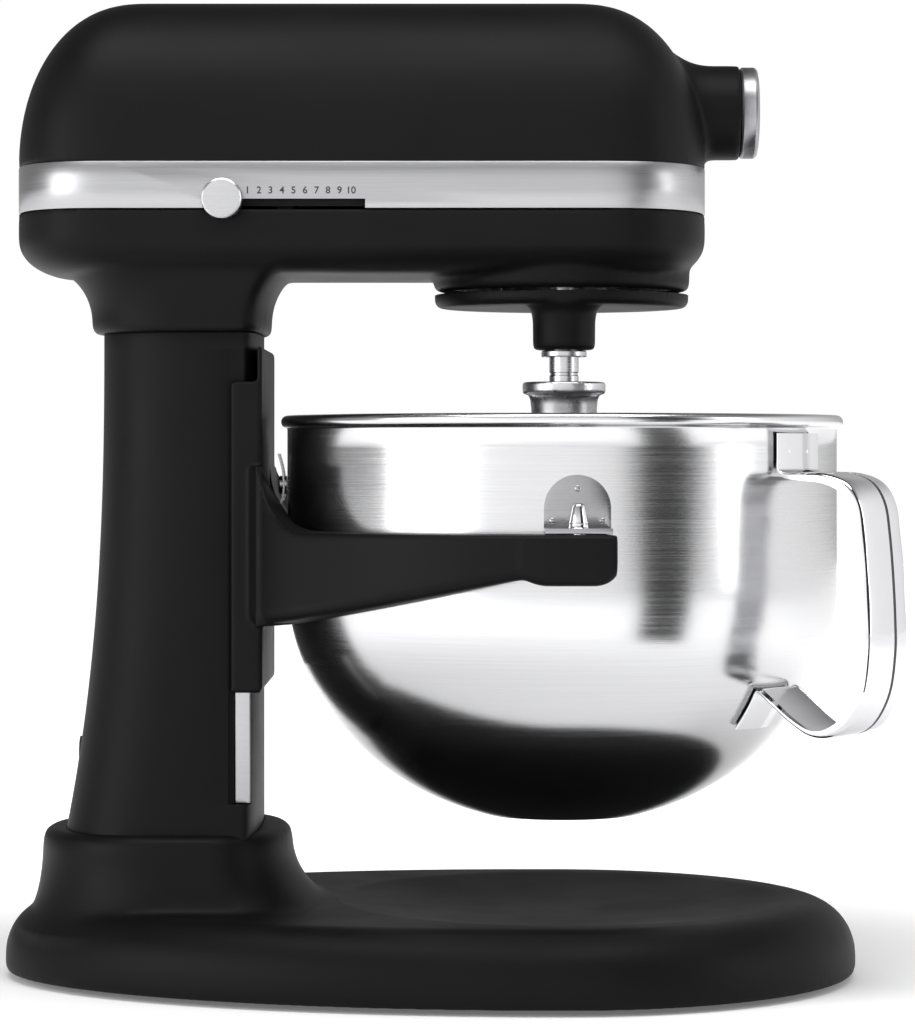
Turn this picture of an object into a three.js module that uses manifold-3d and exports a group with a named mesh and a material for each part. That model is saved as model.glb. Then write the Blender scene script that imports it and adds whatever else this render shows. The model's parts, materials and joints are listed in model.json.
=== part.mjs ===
// Bowl-lift stand mixer: an assembly of separate castings, shafts, gears and fittings.
// Millimetres, +Z up. The bowl axis is at x = 0 while the pieces are made; the front is +X.
// The finished group is moved so that its origin is the bottom centre of its bounding box.
import * as THREE from 'three';
import { mergeVertices } from 'three/addons/utils/BufferGeometryUtils.js';
import Module from 'manifold-3d';

// ---------------------------------------------------------------- driving dimensions
const GAP = 0.3; // clearance between pieces that touch
const RUN = 0.6; // running clearance of pieces that turn or slide

// base
const BASE_REACH = 127; // radius of the round front lobe, about the bowl axis
const BASE_REAR = 241; // bowl axis to the rear end
const BASE_UNDER = 2.5; // lower edge of the casting above the table
const BASE_EDGE = 10; // height where the side starts to round over
const BASE_TOP = 33; // top of the rim around the dish
const BASE_ROUND = 22; // plan width of the rounded edge
const BASE_HOLLOW = 17; // height of the hollow under the slab
const BASE_WALL = 7;
const DISH_RADIUS = 97;
const DISH_DEPTH = 7;
const SOCKET_TOP = 65; // top of the foot that holds the column
const SOCKET_REAR = 224.5;
const SOCKET_FRONT = 117;
const SOCKET_HALF = 58;
const SOCKET_FLARE = 22;
const RUBBER_RADIUS = 12;
const RUBBER_TALL = 6.2;

// column
const COLUMN_REAR = 198; // bowl axis to the back of the column at its waist
const COLUMN_FRONT = 130;
const COLUMN_HALF = 47;
const COLUMN_SPREAD = 16; // how much further back the column stands at its foot
const COLUMN_WIDEN = 4; // how much wider each side is at its foot
const COLUMN_WALL = 4.5;
const RAIL_WIDE = 6.4;
const RAIL_THICK = 2.4;
const RAIL_SET_BACK = 2.6; // front of the column to the rail
const RAIL_LOW = 78;
const RAIL_HIGH = 254;
const BOLT_RADIUS = 3;
const BOLT_LENGTH = 34;
const CORD_HOLE_RADIUS = 7;
const CORD_HOLE_HEIGHT = 96;

// head
const HEAD_REAR = 234.2; // bowl axis to the back of the head
const HEAD_FRONT = 61.7;
const HEAD_HALF = 62.8;
const HEAD_TOP = 419.3;
const BAND_HIGH = 347.8;
const BAND_LOW = 328;
const HEAD_BELLY = 301.8; // underside of the head
const NECK_LOW = 277;
const NECK_FLARE = 22;
const CROWN_ROUND = 50; // plan width of the rounded crown
const BELLY_ROUND = 20;
const BELLY_TALL = 15;
const REAR_END = 46; // length of the rounded rear end in plan
const FRONT_END = 52;
const HEAD_WALL = 4;
const BAND_THICK = 1.6;
const SKIRT_RADIUS = 55.5; // collar around the planetary head
const SKIRT_LOW = 295.6;
const SKIRT_WALL = 4.5;

// speed control
const KNOB_RADIUS = 8.6;
const KNOB_THICK = 6.5;
const KNOB_X = -143.3;
const KNOB_Z = 331.8;
const SPEED_TRAVEL = 56;
const SPEED_ARM_WIDE = 6;
const SPEED_ARM_THICK = 2.8;

// attachment hub
const HUB_Z = 373.5;
const HUB_RADIUS = 20.5;
const HUB_END = 77;
const HUB_BORE = 15.5;
const CAP_RADIUS = 19.8;
const CAP_THICK = 8;
const CAP_STEM = 8;
const SOCKET_SQUARE = 8.2;
const THUMB_X = 67;
const THUMB_RADIUS = 8;

// gears: module and teeth
const SPUR_MODULE = 1.25;
const MOTOR_TEETH = 10;
const IDLER_TEETH = 28;
const BEVEL_MODULE = 2;
const PINION_TEETH = 14;
const CROWN_TEETH = 32;
const HUB_TEETH = 22;
const RING_MODULE = 2;
const RING_TEETH = 46;
const PLANET_TEETH = 8;
const BEVEL_FACE = 8;

// motor
const STATOR_RADIUS = 32.5;
const STATOR_REAR = -196;
const STATOR_FRONT = -146;
const ARMATURE_RADIUS = 20;
const MOTOR_SHAFT_RADIUS = 4;
const BEARING_RADIUS = 11;
const BEARING_WIDE = 7;
const FAN_RADIUS = 29;

// planetary drive
const MAIN_SHAFT_RADIUS = 7;
const DISC_RADIUS = 55;
const DISC_LOW = 288.6;
const DISC_HIGH = 295;
const BOSS_RADIUS = 13;
const BOSS_LOW = 269.4;
const BEATER_SHAFT_RADIUS = 6.2;
const BEATER_SHAFT_LOW = 231;
const PIN_Z = 243.5;
const PIN_RADIUS = 1.8;
const PIN_LENGTH = 25;

// flat beater
const BEATER_HUB_HIGH = 255.9;
const BEATER_FLANGE_RADIUS = 17.6;
const BEATER_HUB_RADIUS = 14;
const BEATER_LOW = 90;
const BEATER_HALF = 60;
const BEATER_THICK = 9;
const BEATER_PUSH = 6;

// bowl
const BOWL_RADIUS = 119;
const BOWL_TOP = 242;
const BOWL_LOW = 69.5;
const BOWL_CURVE_TOP = 170; // where the straight wall starts to curve in
const BOWL_WALL = 1.4;
const BEAD_RADIUS = 2.7;
const BRACKET_WIDE = 27;
const BRACKET_TOP = 217;
const BRACKET_DEEP = 17;
const HANDLE_TURN = THREE.MathUtils.degToRad(-37.5); // handle's place around the bowl
const HANDLE_REACH = 165;
const HANDLE_WIDE = 31;
const HANDLE_THICK = 1.8;
const STUD_Z = 212;
const STUD_RADIUS = 4;

// bowl carriage
const ARM_CLEAR = 4.5; // bowl wall to the arms
const ARM_WIDE = 20;
const ARM_INNER = BOWL_RADIUS + ARM_CLEAR;
const ARM_OUTER = ARM_INNER + ARM_WIDE;
const ARM_TOP = 193.3;
const ARM_ROOT_LOW = 153;
const ARM_RISE = 27; // how far the arms sweep up where they meet the slide
const ARM_SWEEP = 19;
const ARM_SWEEP_END = -108;
const WEB_DEEP = 15; // thickness of the web that joins the arms in front of the slide
const PAD_LOW = 175.5;
const PAD_END = 18.5; // the pad runs this far in front of the bowl axis
const SLIDE_THICK = 2.2;
const SLIDE_LOW = 125;
const SLIDE_HIGH = 271;
const CHEEK_THICK = 5;
const CHEEK_DEEP = 11;
const CHEEK_HIGH = 256;
const PIN_TALL = 12.5;
const PIN_PLACE = 3; // the pins stand this far in front of the bowl axis
const LATCH_HALF = 8.5;
const LATCH_LEG = 3;

// bowl lift
const LIFT_TRAVEL = 38;
const LIFT_X = -157;
const LIFT_Z = 172;
const LIFT_SHAFT_RADIUS = 6;
const LEVER_LENGTH = 66;
const LEVER_Y = 60;
const CRANK_THROW = LIFT_TRAVEL / Math.SQRT2; // the crank turns from 45 degrees up to 45 down
const CRANK_PIN_RADIUS = 3.5;
const TONGUE_Y = 9;

// ---------------------------------------------------------------- solids
const wasm = await Module();
wasm.setup();

// Closed solid from a geometry: shared corners merged, flat-out triangles dropped, faces outward.
function solid(geometry) {
  geometry.deleteAttribute('normal');
  geometry.deleteAttribute('uv');
  const merged = mergeVertices(geometry, 1e-3);
  const at = merged.attributes.position;
  const index = merged.index.array;
  const corners = [];
  for (let i = 0; i < index.length; i += 3) {
    const [a, b, c] = [index[i], index[i + 1], index[i + 2]];
    if (a !== b && b !== c && c !== a) corners.push(a, b, c);
  }
  const point = (i) => new THREE.Vector3().fromBufferAttribute(at, i);
  let volume = 0;
  for (let i = 0; i < corners.length; i += 3) {
    volume += point(corners[i]).dot(point(corners[i + 1]).cross(point(corners[i + 2])));
  }
  if (volume < 0) corners.reverse();
  const mesh = new wasm.Mesh({
    numProp: 3,
    vertProperties: new Float32Array(at.array),
    triVerts: new Uint32Array(corners),
  });
  return new wasm.Manifold(mesh);
}

function block(x0, x1, y0, y1, z0, z1) {
  const box = new THREE.BoxGeometry(x1 - x0, y1 - y0, z1 - z0);
  return solid(box.translate((x0 + x1) / 2, (y0 + y1) / 2, (z0 + z1) / 2));
}

// Solid of revolution about a vertical axis; profile pairs are [radius, height].
function turned(profile, segments = 32, x = 0, y = 0) {
  const points = profile.map(([radius, height]) => new THREE.Vector2(radius, height));
  const lathe = new THREE.LatheGeometry(points, segments);
  return solid(lathe.rotateX(Math.PI / 2).translate(x, y, 0));
}

// Solid of revolution about a line along X; profile pairs are [x, radius].
function turnedAlongX(profile, segments, y, z) {
  const points = profile.map(([along, radius]) => new THREE.Vector2(radius, along));
  const lathe = new THREE.LatheGeometry(points, segments);
  return solid(lathe.rotateZ(-Math.PI / 2).translate(0, y, z));
}

function turnedAlongY(profile, segments, x, z) {
  const points = profile.map(([along, radius]) => new THREE.Vector2(radius, along));
  return solid(new THREE.LatheGeometry(points, segments).translate(x, 0, z));
}

const tube = (low, high, outer, inner) => [
  [inner, low], [outer, low], [outer, high], [inner, high], [inner, low],
];
const rodAlong = (from, to, radius) => [[from, 0], [from, radius], [to, radius], [to, 0]];
const rodUp = (low, high, radius) => [[0, low], [radius, low], [radius, high], [0, high]];
const sleeveAlong = (from, to, outer, inner) => [
  [from, inner], [from, outer], [to, outer], [to, inner], [from, inner],
];

// Outline in the XZ plane, pushed out along Y from y0 to y1.
function slabXZ(shape, y0, y1, curveSegments = 8) {
  const plate = new THREE.ExtrudeGeometry(shape, { depth: y1 - y0, bevelEnabled: false, curveSegments });
  return solid(plate.rotateX(Math.PI / 2).translate(0, y1, 0));
}

function slabXY(shape, z0, z1, curveSegments = 24) {
  const plate = new THREE.ExtrudeGeometry(shape, { depth: z1 - z0, bevelEnabled: false, curveSegments });
  return solid(plate.translate(0, 0, z0));
}

const polygon = (points) => new THREE.Shape(points.map(([x, y]) => new THREE.Vector2(x, y)));

// Closed plan outline with rounded ends, pulled in by inset; bluntness 2 is an ellipse.
function capsule(plan, inset, count) {
  const half = plan.half - inset;
  const shrink = half / plan.half;
  const power = 2 / plan.bluntness;
  const points = [];
  for (let i = 0; i < count; i += 1) {
    const angle = (2 * Math.PI * (i + 0.5)) / count;
    const [c, s] = [Math.cos(angle), Math.sin(angle)];
    const end = (c > 0 ? plan.frontEnd : plan.rearEnd) * shrink;
    const centre = c > 0 ? plan.front - inset - end : -plan.rear + inset + end;
    const x = centre + end * Math.sign(c) * Math.abs(c) ** power;
    points.push([x, half * Math.sign(s) * Math.abs(s) ** power]);
  }
  return points;
}

// Solid through a stack of outlines; each level is { z, ring }, and all rings have the same count.
function loft(levels) {
  const count = levels[0].ring.length;
  const grid = new THREE.CylinderGeometry(1, 1, 1, count, levels.length - 1);
  const at = grid.attributes.position;
  for (let i = 0; i < at.count; i += 1) {
    const [x, y, z] = [at.getX(i), at.getY(i), at.getZ(i)];
    const { z: height, ring } = levels[Math.round((y + 0.5) * (levels.length - 1))];
    if (Math.hypot(x, z) < 0.5) {
      const middle = ring.reduce((sum, point) => sum + point[0], 0) / count;
      at.setXYZ(i, middle, 0, height);
    } else {
      const turn = Math.round((Math.atan2(x, z) / (2 * Math.PI)) * count);
      const [px, py] = ring[(turn + count) % count];
      at.setXYZ(i, px, py, height);
    }
  }
  return solid(grid);
}

const parts = [];
function piece(name, shape, colour, roughness, metalness) {
  const mesh = shape.getMesh();
  const geometry = new THREE.BufferGeometry();
  geometry.setAttribute('position', new THREE.BufferAttribute(mesh.vertProperties, 3));
  geometry.setIndex(new THREE.BufferAttribute(mesh.triVerts, 1));
  const material = new THREE.MeshStandardMaterial({ color: colour, roughness, metalness });
  const part = new THREE.Mesh(geometry, material);
  part.name = name;
  parts.push(part);
}

const castBlack = (name, shape) => piece(name, shape, 0x161616, 0.5, 0.1);
const brushed = (name, shape) => piece(name, shape, 0xc4c5c7, 0.35, 1);
const steel = (name, shape) => piece(name, shape, 0x9a9c9f, 0.4, 1);
const polished = (name, shape) => piece(name, shape, 0xd8d9db, 0.12, 1);
const brass = (name, shape) => piece(name, shape, 0xb08d4f, 0.45, 1);
const copper = (name, shape) => piece(name, shape, 0xa5613a, 0.4, 1);
const rubber = (name, shape) => piece(name, shape, 0x1c1c1c, 0.9, 0);
const plastic = (name, shape) => piece(name, shape, 0x20211f, 0.6, 0);

// ---------------------------------------------------------------- base and column
const RINGS = 30; // points round each large casting
const quarter = (steps) => Array.from({ length: steps + 1 }, (_, i) => (Math.PI / 2) * (i / steps));

const basePlan = {
  rear: BASE_REAR, front: BASE_REACH, half: BASE_REACH,
  rearEnd: BASE_REAR, frontEnd: BASE_REACH, bluntness: 2,
};
const socketPlan = (grow) => ({
  rear: SOCKET_REAR + grow * 0.5, front: -SOCKET_FRONT + grow * 1.9, half: SOCKET_HALF + grow,
  rearEnd: 56 + grow * 1.8, frontEnd: 34, bluntness: 2.3,
});

// The column stands wider and further back towards its foot.
function columnRing(z, inset) {
  const low = Math.max(0, (NECK_LOW - z) / (NECK_LOW - SOCKET_TOP));
  const plan = {
    rear: COLUMN_REAR + COLUMN_SPREAD * low ** 2.6, front: -COLUMN_FRONT,
    half: COLUMN_HALF + COLUMN_WIDEN * low ** 2, rearEnd: 42, frontEnd: 6, bluntness: 2.6,
  };
  return { z, ring: capsule(plan, inset, RINGS) };
}

const FOOT_SPOTS = [[64, 64], [64, -64], [-128, 70], [-128, -70], [-212, 0]];
const BOLT_SPOTS = [[-150, 33], [-150, -33]];

function makeBase() {
  const slab = [{ z: BASE_UNDER, ring: capsule(basePlan, 1.5, RINGS) }];
  slab.push({ z: BASE_UNDER + 2, ring: capsule(basePlan, 0, RINGS) });
  for (const angle of quarter(4)) {
    const inset = BASE_ROUND * (1 - Math.cos(angle));
    const z = BASE_EDGE + (BASE_TOP - BASE_EDGE) * Math.sin(angle);
    slab.push({ z, ring: capsule(basePlan, inset, RINGS) });
  }
  const socket = [];
  for (const angle of quarter(4)) {
    const grow = SOCKET_FLARE * (1 - Math.sin(angle));
    const z = SOCKET_TOP - 6 - (SOCKET_TOP - 6 - 24) * Math.cos(angle);
    socket.push({ z, ring: capsule(socketPlan(grow), 0, RINGS) });
  }
  socket.push({ z: SOCKET_TOP - 2, ring: capsule(socketPlan(0), 1.2, RINGS) });
  socket.push({ z: SOCKET_TOP, ring: capsule(socketPlan(0), 4, RINGS) });
  const dishRadius = (DISH_RADIUS ** 2 + DISH_DEPTH ** 2) / (2 * DISH_DEPTH);
  const dish = quarter(3).map((angle) => {
    const r = DISH_RADIUS * Math.sin(angle);
    return [r, BASE_TOP - DISH_DEPTH + dishRadius - Math.sqrt(dishRadius ** 2 - r ** 2)];
  });
  dish.push([DISH_RADIUS, BASE_TOP + 5], [0, BASE_TOP + 5]);
  const seat = loft([columnRing(SOCKET_TOP - 9, -GAP), columnRing(SOCKET_TOP + 1, -GAP)]);
  const hollow = loft([
    { z: -1, ring: capsule(basePlan, BASE_WALL, RINGS) },
    { z: BASE_HOLLOW, ring: capsule(basePlan, BASE_WALL + 6, RINGS) },
  ]);
  const well = loft([
    { z: BASE_HOLLOW - 1, ring: capsule(socketPlan(0), 12, RINGS) },
    { z: SOCKET_TOP - 20, ring: capsule(socketPlan(0), 16, RINGS) },
  ]);
  let base = loft(slab).add(loft(socket)).subtract(turned(dish, 36)).subtract(seat);
  base = base.subtract(hollow).subtract(well);
  for (const [x, y] of FOOT_SPOTS) {
    base = base.add(turned(rodUp(RUBBER_TALL + GAP, BASE_HOLLOW + 2, RUBBER_RADIUS + 2), 20, x, y));
  }
  for (const [x, y] of BOLT_SPOTS) {
    base = base.subtract(turned(rodUp(SOCKET_TOP - 22, SOCKET_TOP + 1, BOLT_RADIUS + GAP), 12, x, y));
  }
  castBlack('base', base);
  FOOT_SPOTS.forEach(([x, y], i) => {
    const foot = [
      [0, 0], [RUBBER_RADIUS - 1.5, 0], [RUBBER_RADIUS, 2], [RUBBER_RADIUS - 1, RUBBER_TALL],
      [0, RUBBER_TALL],
    ];
    rubber(`rubber_foot_${i + 1}`, turned(foot, 20, x, y));
  });
}

const railX = -COLUMN_FRONT - RAIL_SET_BACK - RAIL_WIDE;
const railInner = COLUMN_HALF - 2.2;

function makeColumn() {
  const low = SOCKET_TOP - 9 + GAP;
  const heights = [low, 80, 105, 140, 190, NECK_LOW - GAP];
  const outer = loft(heights.map((z) => columnRing(z, 0)));
  const inner = loft(
    [
      columnRing(low + 8, COLUMN_WALL),
      ...[105, 140, 190, NECK_LOW + 1].map((z) => columnRing(z, COLUMN_WALL)),
    ]
  );
  const well = block(LIFT_X - 34, -COLUMN_FRONT - 14, -16, 16, low - 1, low + 10);
  let column = outer.subtract(inner).subtract(well);
  for (const side of [-1, 1]) {
    const [near, far] = [side * (railInner - GAP), side * (COLUMN_HALF + 20)].sort((a, b) => a - b);
    column = column.subtract(
      block(railX - GAP, railX + RAIL_WIDE + GAP, near, far, RAIL_LOW - GAP, RAIL_HIGH + GAP),
    );
    const [inFace, outFace] = [side * (railInner - 4), side * (railInner - GAP)].sort((a, b) => a - b);
    column = column.add(
      block(railX - 3, railX + RAIL_WIDE + 3, inFace, outFace, RAIL_LOW - 4, RAIL_HIGH + 4)
        .intersect(outer)
    );
    // flat along the side for the cheeks of the carriage
    const [flatIn, flatOut] = [side * COLUMN_HALF, side * (COLUMN_HALF + 20)].sort((a, b) => a - b);
    const flatBack = railX - RAIL_SET_BACK;
    column = column.subtract(
      block(flatBack, -COLUMN_FRONT + 1, flatIn, flatOut, RAIL_LOW, NECK_LOW),
    );
  }
  const slot = block(
    -COLUMN_FRONT - 20, -COLUMN_FRONT + 1, TONGUE_Y - 4, TONGUE_Y + 4, LIFT_Z - 34, LIFT_Z + 34,
  );
  const bore = turnedAlongY(
    rodAlong(COLUMN_HALF - 12, COLUMN_HALF + 12, LIFT_SHAFT_RADIUS + GAP), 20, LIFT_X, LIFT_Z,
  );
  const cordHole = turnedAlongX(
    rodAlong(-COLUMN_REAR - 20, -COLUMN_REAR + 12, CORD_HOLE_RADIUS + GAP), 20, 0, CORD_HOLE_HEIGHT,
  );
  column = column.subtract(slot).subtract(bore).subtract(cordHole);
  for (const [x, y] of BOLT_SPOTS) {
    const post = turned(rodUp(low, low + BOLT_LENGTH, 8), 16, x, y);
    column = column.add(
      post.subtract(turned(rodUp(low - 1, low + BOLT_LENGTH - 6, BOLT_RADIUS + GAP), 12, x, y)),
    );
    column = column.subtract(turned(rodUp(low - 1, low + BOLT_LENGTH - 6, BOLT_RADIUS + GAP), 12, x, y));
  }
  castBlack('column', column);
  BOLT_SPOTS.forEach(([x, y], i) => {
    const head = SOCKET_TOP - 20 - GAP;
    const shank = turned(rodUp(head - 1, head + BOLT_LENGTH, BOLT_RADIUS), 12, x, y);
    steel(`column_bolt_${i + 1}`, shank.add(turned(rodUp(head - 5, head, 6), 6, x, y)));
  });
  for (const side of [-1, 1]) {
    const [y0, y1] = [side * railInner, side * (railInner + RAIL_THICK)].sort((a, b) => a - b);
    const rail = block(railX, railX + RAIL_WIDE, y0, y1, RAIL_LOW, RAIL_HIGH);
    brushed(side < 0 ? 'guide_rail_left' : 'guide_rail_right', rail);
  }
  const share = (NECK_LOW - CORD_HOLE_HEIGHT) / (NECK_LOW - SOCKET_TOP);
  const back = -COLUMN_REAR - COLUMN_SPREAD * share ** 2.6;
  rubber(
    'cord_bush',
    turnedAlongX(sleeveAlong(back - 0.4, back + 11, CORD_HOLE_RADIUS, 3.6), 20, 0, CORD_HOLE_HEIGHT),
  );
}

// ---------------------------------------------------------------- head castings
const headPlan = {
  rear: HEAD_REAR, front: HEAD_FRONT, half: HEAD_HALF,
  rearEnd: REAR_END, frontEnd: FRONT_END, bluntness: 2.7,
};
const headRing = (z, inset) => ({ z, ring: capsule(headPlan, inset, RINGS) });
const CROWN_POWER = 2.1;

function crownLevels(inset, low, high, round) {
  return quarter(6).map((angle) => {
    const pull = round * (1 - Math.cos(angle) ** (2 / CROWN_POWER));
    return headRing(low + (high - low) * Math.sin(angle) ** (2 / CROWN_POWER), inset + pull);
  });
}

const neckPlan = (grow) => ({
  rear: COLUMN_REAR + 5 + grow,
  front: -COLUMN_FRONT + 3.5 + grow * 0.8,
  half: COLUMN_HALF + 3.5 + grow * 0.35,
  rearEnd: 43, frontEnd: 10, bluntness: 2.6,
});

function makeLowerHousing() {
  const shell = quarter(3).map((angle) => {
    const z = HEAD_BELLY + BELLY_TALL * (1 - Math.cos(angle));
    return headRing(z, BELLY_ROUND * (1 - Math.sin(angle)));
  });
  shell.push(headRing(BAND_LOW - GAP, 0));
  const neck = [{ z: NECK_LOW, ring: capsule(neckPlan(0), 1.5, RINGS) }];
  neck.push({ z: NECK_LOW + 2, ring: capsule(neckPlan(0), 0, RINGS) });
  for (const angle of quarter(4)) {
    const z = NECK_LOW + 5 + (HEAD_BELLY + 4 - NECK_LOW - 5) * Math.sin(angle);
    neck.push({ z, ring: capsule(neckPlan(NECK_FLARE * (1 - Math.cos(angle))), 0, RINGS) });
  }
  const collar = [
    [0, SKIRT_LOW], [SKIRT_RADIUS - 2, SKIRT_LOW], [SKIRT_RADIUS, SKIRT_LOW + 2],
    [SKIRT_RADIUS, SKIRT_LOW + 10], [SKIRT_RADIUS - 3, BAND_LOW - 12], [0, BAND_LOW - 12],
  ];
  const hollow = [headRing(HEAD_BELLY + HEAD_WALL + 1, HEAD_WALL + BELLY_ROUND * 0.7)];
  hollow.push(headRing(HEAD_BELLY + 14, HEAD_WALL + 1), headRing(BAND_LOW + 1, HEAD_WALL));
  const throat = loft([
    { z: NECK_LOW - 1, ring: capsule(neckPlan(0), 8, RINGS) },
    { z: HEAD_BELLY + 8, ring: capsule(neckPlan(0), 8, RINGS) },
  ]);
  const cup = turned(rodUp(SKIRT_LOW - 1, SKIRT_LOW + 7, SKIRT_RADIUS - SKIRT_WALL), 40);
  const tower = turned(rodUp(SKIRT_LOW + 7, CROWN_PLANE - 16, 15), 24);
  const bore = turned(rodUp(SKIRT_LOW, CROWN_PLANE, 10 + GAP), 24);
  let housing = loft(shell).add(loft(neck)).add(turned(collar, 40));
  housing = housing.subtract(loft(hollow)).subtract(throat).subtract(cup).add(tower).subtract(bore);
  castBlack('lower_housing', housing);
  brass('planetary_bush', turned(tube(SKIRT_LOW + 8, CROWN_PLANE - 16, 10, MAIN_SHAFT_RADIUS + GAP), 24));
}

// heights of the gear train, worked up from the crown gear
const HUB_GEAR_RADIUS = (BEVEL_MODULE * HUB_TEETH) / 2;
const CROWN_PLANE = HUB_Z - HUB_GEAR_RADIUS;
const CROWN_RADIUS = (BEVEL_MODULE * CROWN_TEETH) / 2;
const PINION_GEAR_RADIUS = (BEVEL_MODULE * PINION_TEETH) / 2;
const IDLER_Z = CROWN_PLANE + PINION_GEAR_RADIUS;
const MOTOR_Z = IDLER_Z - (SPUR_MODULE * (MOTOR_TEETH + IDLER_TEETH)) / 2;

function makeUpperHousing() {
  const lip = HEAD_WALL + BAND_THICK + GAP;
  const recess = loft([headRing(BAND_LOW, BAND_THICK + GAP), headRing(BAND_HIGH + 2, BAND_THICK + GAP)]);
  const crown = loft(crownLevels(0, BAND_HIGH + GAP, HEAD_TOP, CROWN_ROUND));
  const hollow = loft([
    headRing(BAND_LOW - 1, lip),
    ...crownLevels(lip, BAND_HIGH, HEAD_TOP - HEAD_WALL, CROWN_ROUND - 2),
  ]);
  const boss = [
    [20, 0], [20, HUB_RADIUS + 12], [40, HUB_RADIUS + 12], [48, HUB_RADIUS + 6], [56, HUB_RADIUS + 1.5],
    [62, HUB_RADIUS], [HUB_END, HUB_RADIUS], [HUB_END, 0],
  ];
  const inside = loft(
    [
      headRing(BAND_HIGH - 4, lip),
      ...crownLevels(lip, BAND_HIGH, HEAD_TOP - HEAD_WALL, CROWN_ROUND - 2),
    ]
  );
  const hub = turnedAlongX(boss, 32, 0, HUB_Z).intersect(loft([
    { z: BAND_HIGH + GAP, ring: capsule({ ...headPlan, front: HUB_END + 1 }, 0, RINGS) },
    { z: HEAD_TOP - 8, ring: capsule({ ...headPlan, front: HUB_END + 1 }, 0, RINGS) },
  ]));
  const bearing = turnedAlongX(rodAlong(44, 60, 15), 24, 0, HUB_Z);
  let housing = recess.add(crown).add(hub).subtract(hollow.add(inside)).add(bearing);
  housing = housing.subtract(turnedAlongX(rodAlong(30, 60, 9 + GAP), 24, 0, HUB_Z));
  housing = housing.subtract(turnedAlongX(rodAlong(54, HUB_END + 1, HUB_BORE), 32, 0, HUB_Z));
  housing = housing.subtract(
    turnedAlongY(rodAlong(0, HUB_RADIUS + 8, BOLT_RADIUS + GAP), 12, THUMB_X, HUB_Z),
  );
  housing = housing.subtract(speedSlot(HEAD_WALL + BAND_THICK + 3));
  castBlack('upper_housing', housing);
  const band = loft([headRing(BAND_LOW, 0), headRing(BAND_HIGH, 0)]);
  const core = loft([headRing(BAND_LOW - 1, BAND_THICK), headRing(BAND_HIGH + 1, BAND_THICK)]);
  brushed('trim_band', band.subtract(core).subtract(speedSlot(BAND_THICK + 3)));
}

function speedSlot(depth) {
  const from = KNOB_X - SPEED_ARM_WIDE / 2 - RUN;
  const to = KNOB_X + SPEED_TRAVEL + SPEED_ARM_WIDE / 2 + RUN;
  const high = KNOB_Z + SPEED_ARM_THICK / 2 - 1.8 + RUN;
  return block(from, to, -HEAD_HALF - 3, -HEAD_HALF + depth, BAND_LOW - 2, high);
}

function makeSpeedControl() {
  const face = -HEAD_HALF - RUN;
  const knob = [
    [face - KNOB_THICK, 0], [face - KNOB_THICK, KNOB_RADIUS - 1.2], [face - KNOB_THICK + 1.2, KNOB_RADIUS],
    [face - 1, KNOB_RADIUS], [face, KNOB_RADIUS - 1], [face, 0],
  ];
  brushed('speed_knob', turnedAlongY(knob, 24, KNOB_X, KNOB_Z));
  const [x0, x1] = [KNOB_X - SPEED_ARM_WIDE / 2, KNOB_X + SPEED_ARM_WIDE / 2];
  const low = KNOB_Z - 1.8 - SPEED_ARM_THICK / 2;
  const stem = block(x0, x1, face + GAP, -HEAD_HALF + 15, low, low + SPEED_ARM_THICK);
  const tab = block(x0, x1, -HEAD_HALF + 12, -HEAD_HALF + 15, low, low + 18);
  plastic('speed_arm', stem.add(tab));
  const board = block(
    KNOB_X - 6, KNOB_X + SPEED_TRAVEL + 8, -HEAD_HALF + 17, -HEAD_HALF + 19, BAND_LOW + 2,
    BAND_LOW + 34,
  );
  const chips = [0, 1, 2].map(
    (i) => block(
      KNOB_X + 4 + i * 18, KNOB_X + 14 + i * 18, -HEAD_HALF + 18, -HEAD_HALF + 23, BAND_LOW + 20,
      BAND_LOW + 30,
    )
  );
  plastic('control_board', chips.reduce((sum, chip) => sum.add(chip), board));
}

// ---------------------------------------------------------------- gears
// Gear outline with narrow stub teeth, so that a pair turns with backlash. An inside gear has a
// negative count of teeth: its teeth point at the axis.
function gearOutline(module, teeth, phase = 0) {
  const count = Math.abs(teeth);
  const pitch = (module * count) / 2;
  const way = Math.sign(teeth);
  const [root, tip] = [pitch - way * module * 0.95, pitch + way * module * 0.6];
  const points = [];
  for (let i = 0; i < count; i += 1) {
    const middle = ((i + phase) * 2 * Math.PI) / count;
    const step = (2 * Math.PI) / count;
    for (const [share, radius] of [[-0.26, root], [-0.1, tip], [0.1, tip], [0.26, root]]) {
      const angle = middle + share * step;
      points.push([radius * Math.cos(angle), radius * Math.sin(angle)]);
    }
  }
  return points;
}

// Teeth straight along Z between two heights; scale tapers the top face for a bevel gear.
function gearBody(outline, z0, z1, taper = 1) {
  const wheel = new THREE.ExtrudeGeometry(polygon(outline), { depth: z1 - z0, bevelEnabled: false });
  const at = wheel.attributes.position;
  for (let i = 0; i < at.count; i += 1) {
    if (at.getZ(i) > (z1 - z0) / 2) at.setXY(i, at.getX(i) * taper, at.getY(i) * taper);
  }
  return wheel.translate(0, 0, z0);
}

const alongX = (geometry, x, z) => solid(geometry.rotateY(Math.PI / 2).translate(x, 0, z));

// ---------------------------------------------------------------- motor and gear train
const plateX = -122;
const shaftEnd = -104;
const idlerX = shaftEnd - 9;
const pinionFront = -CROWN_RADIUS;
const pinionBack = pinionFront - BEVEL_FACE;

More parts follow.
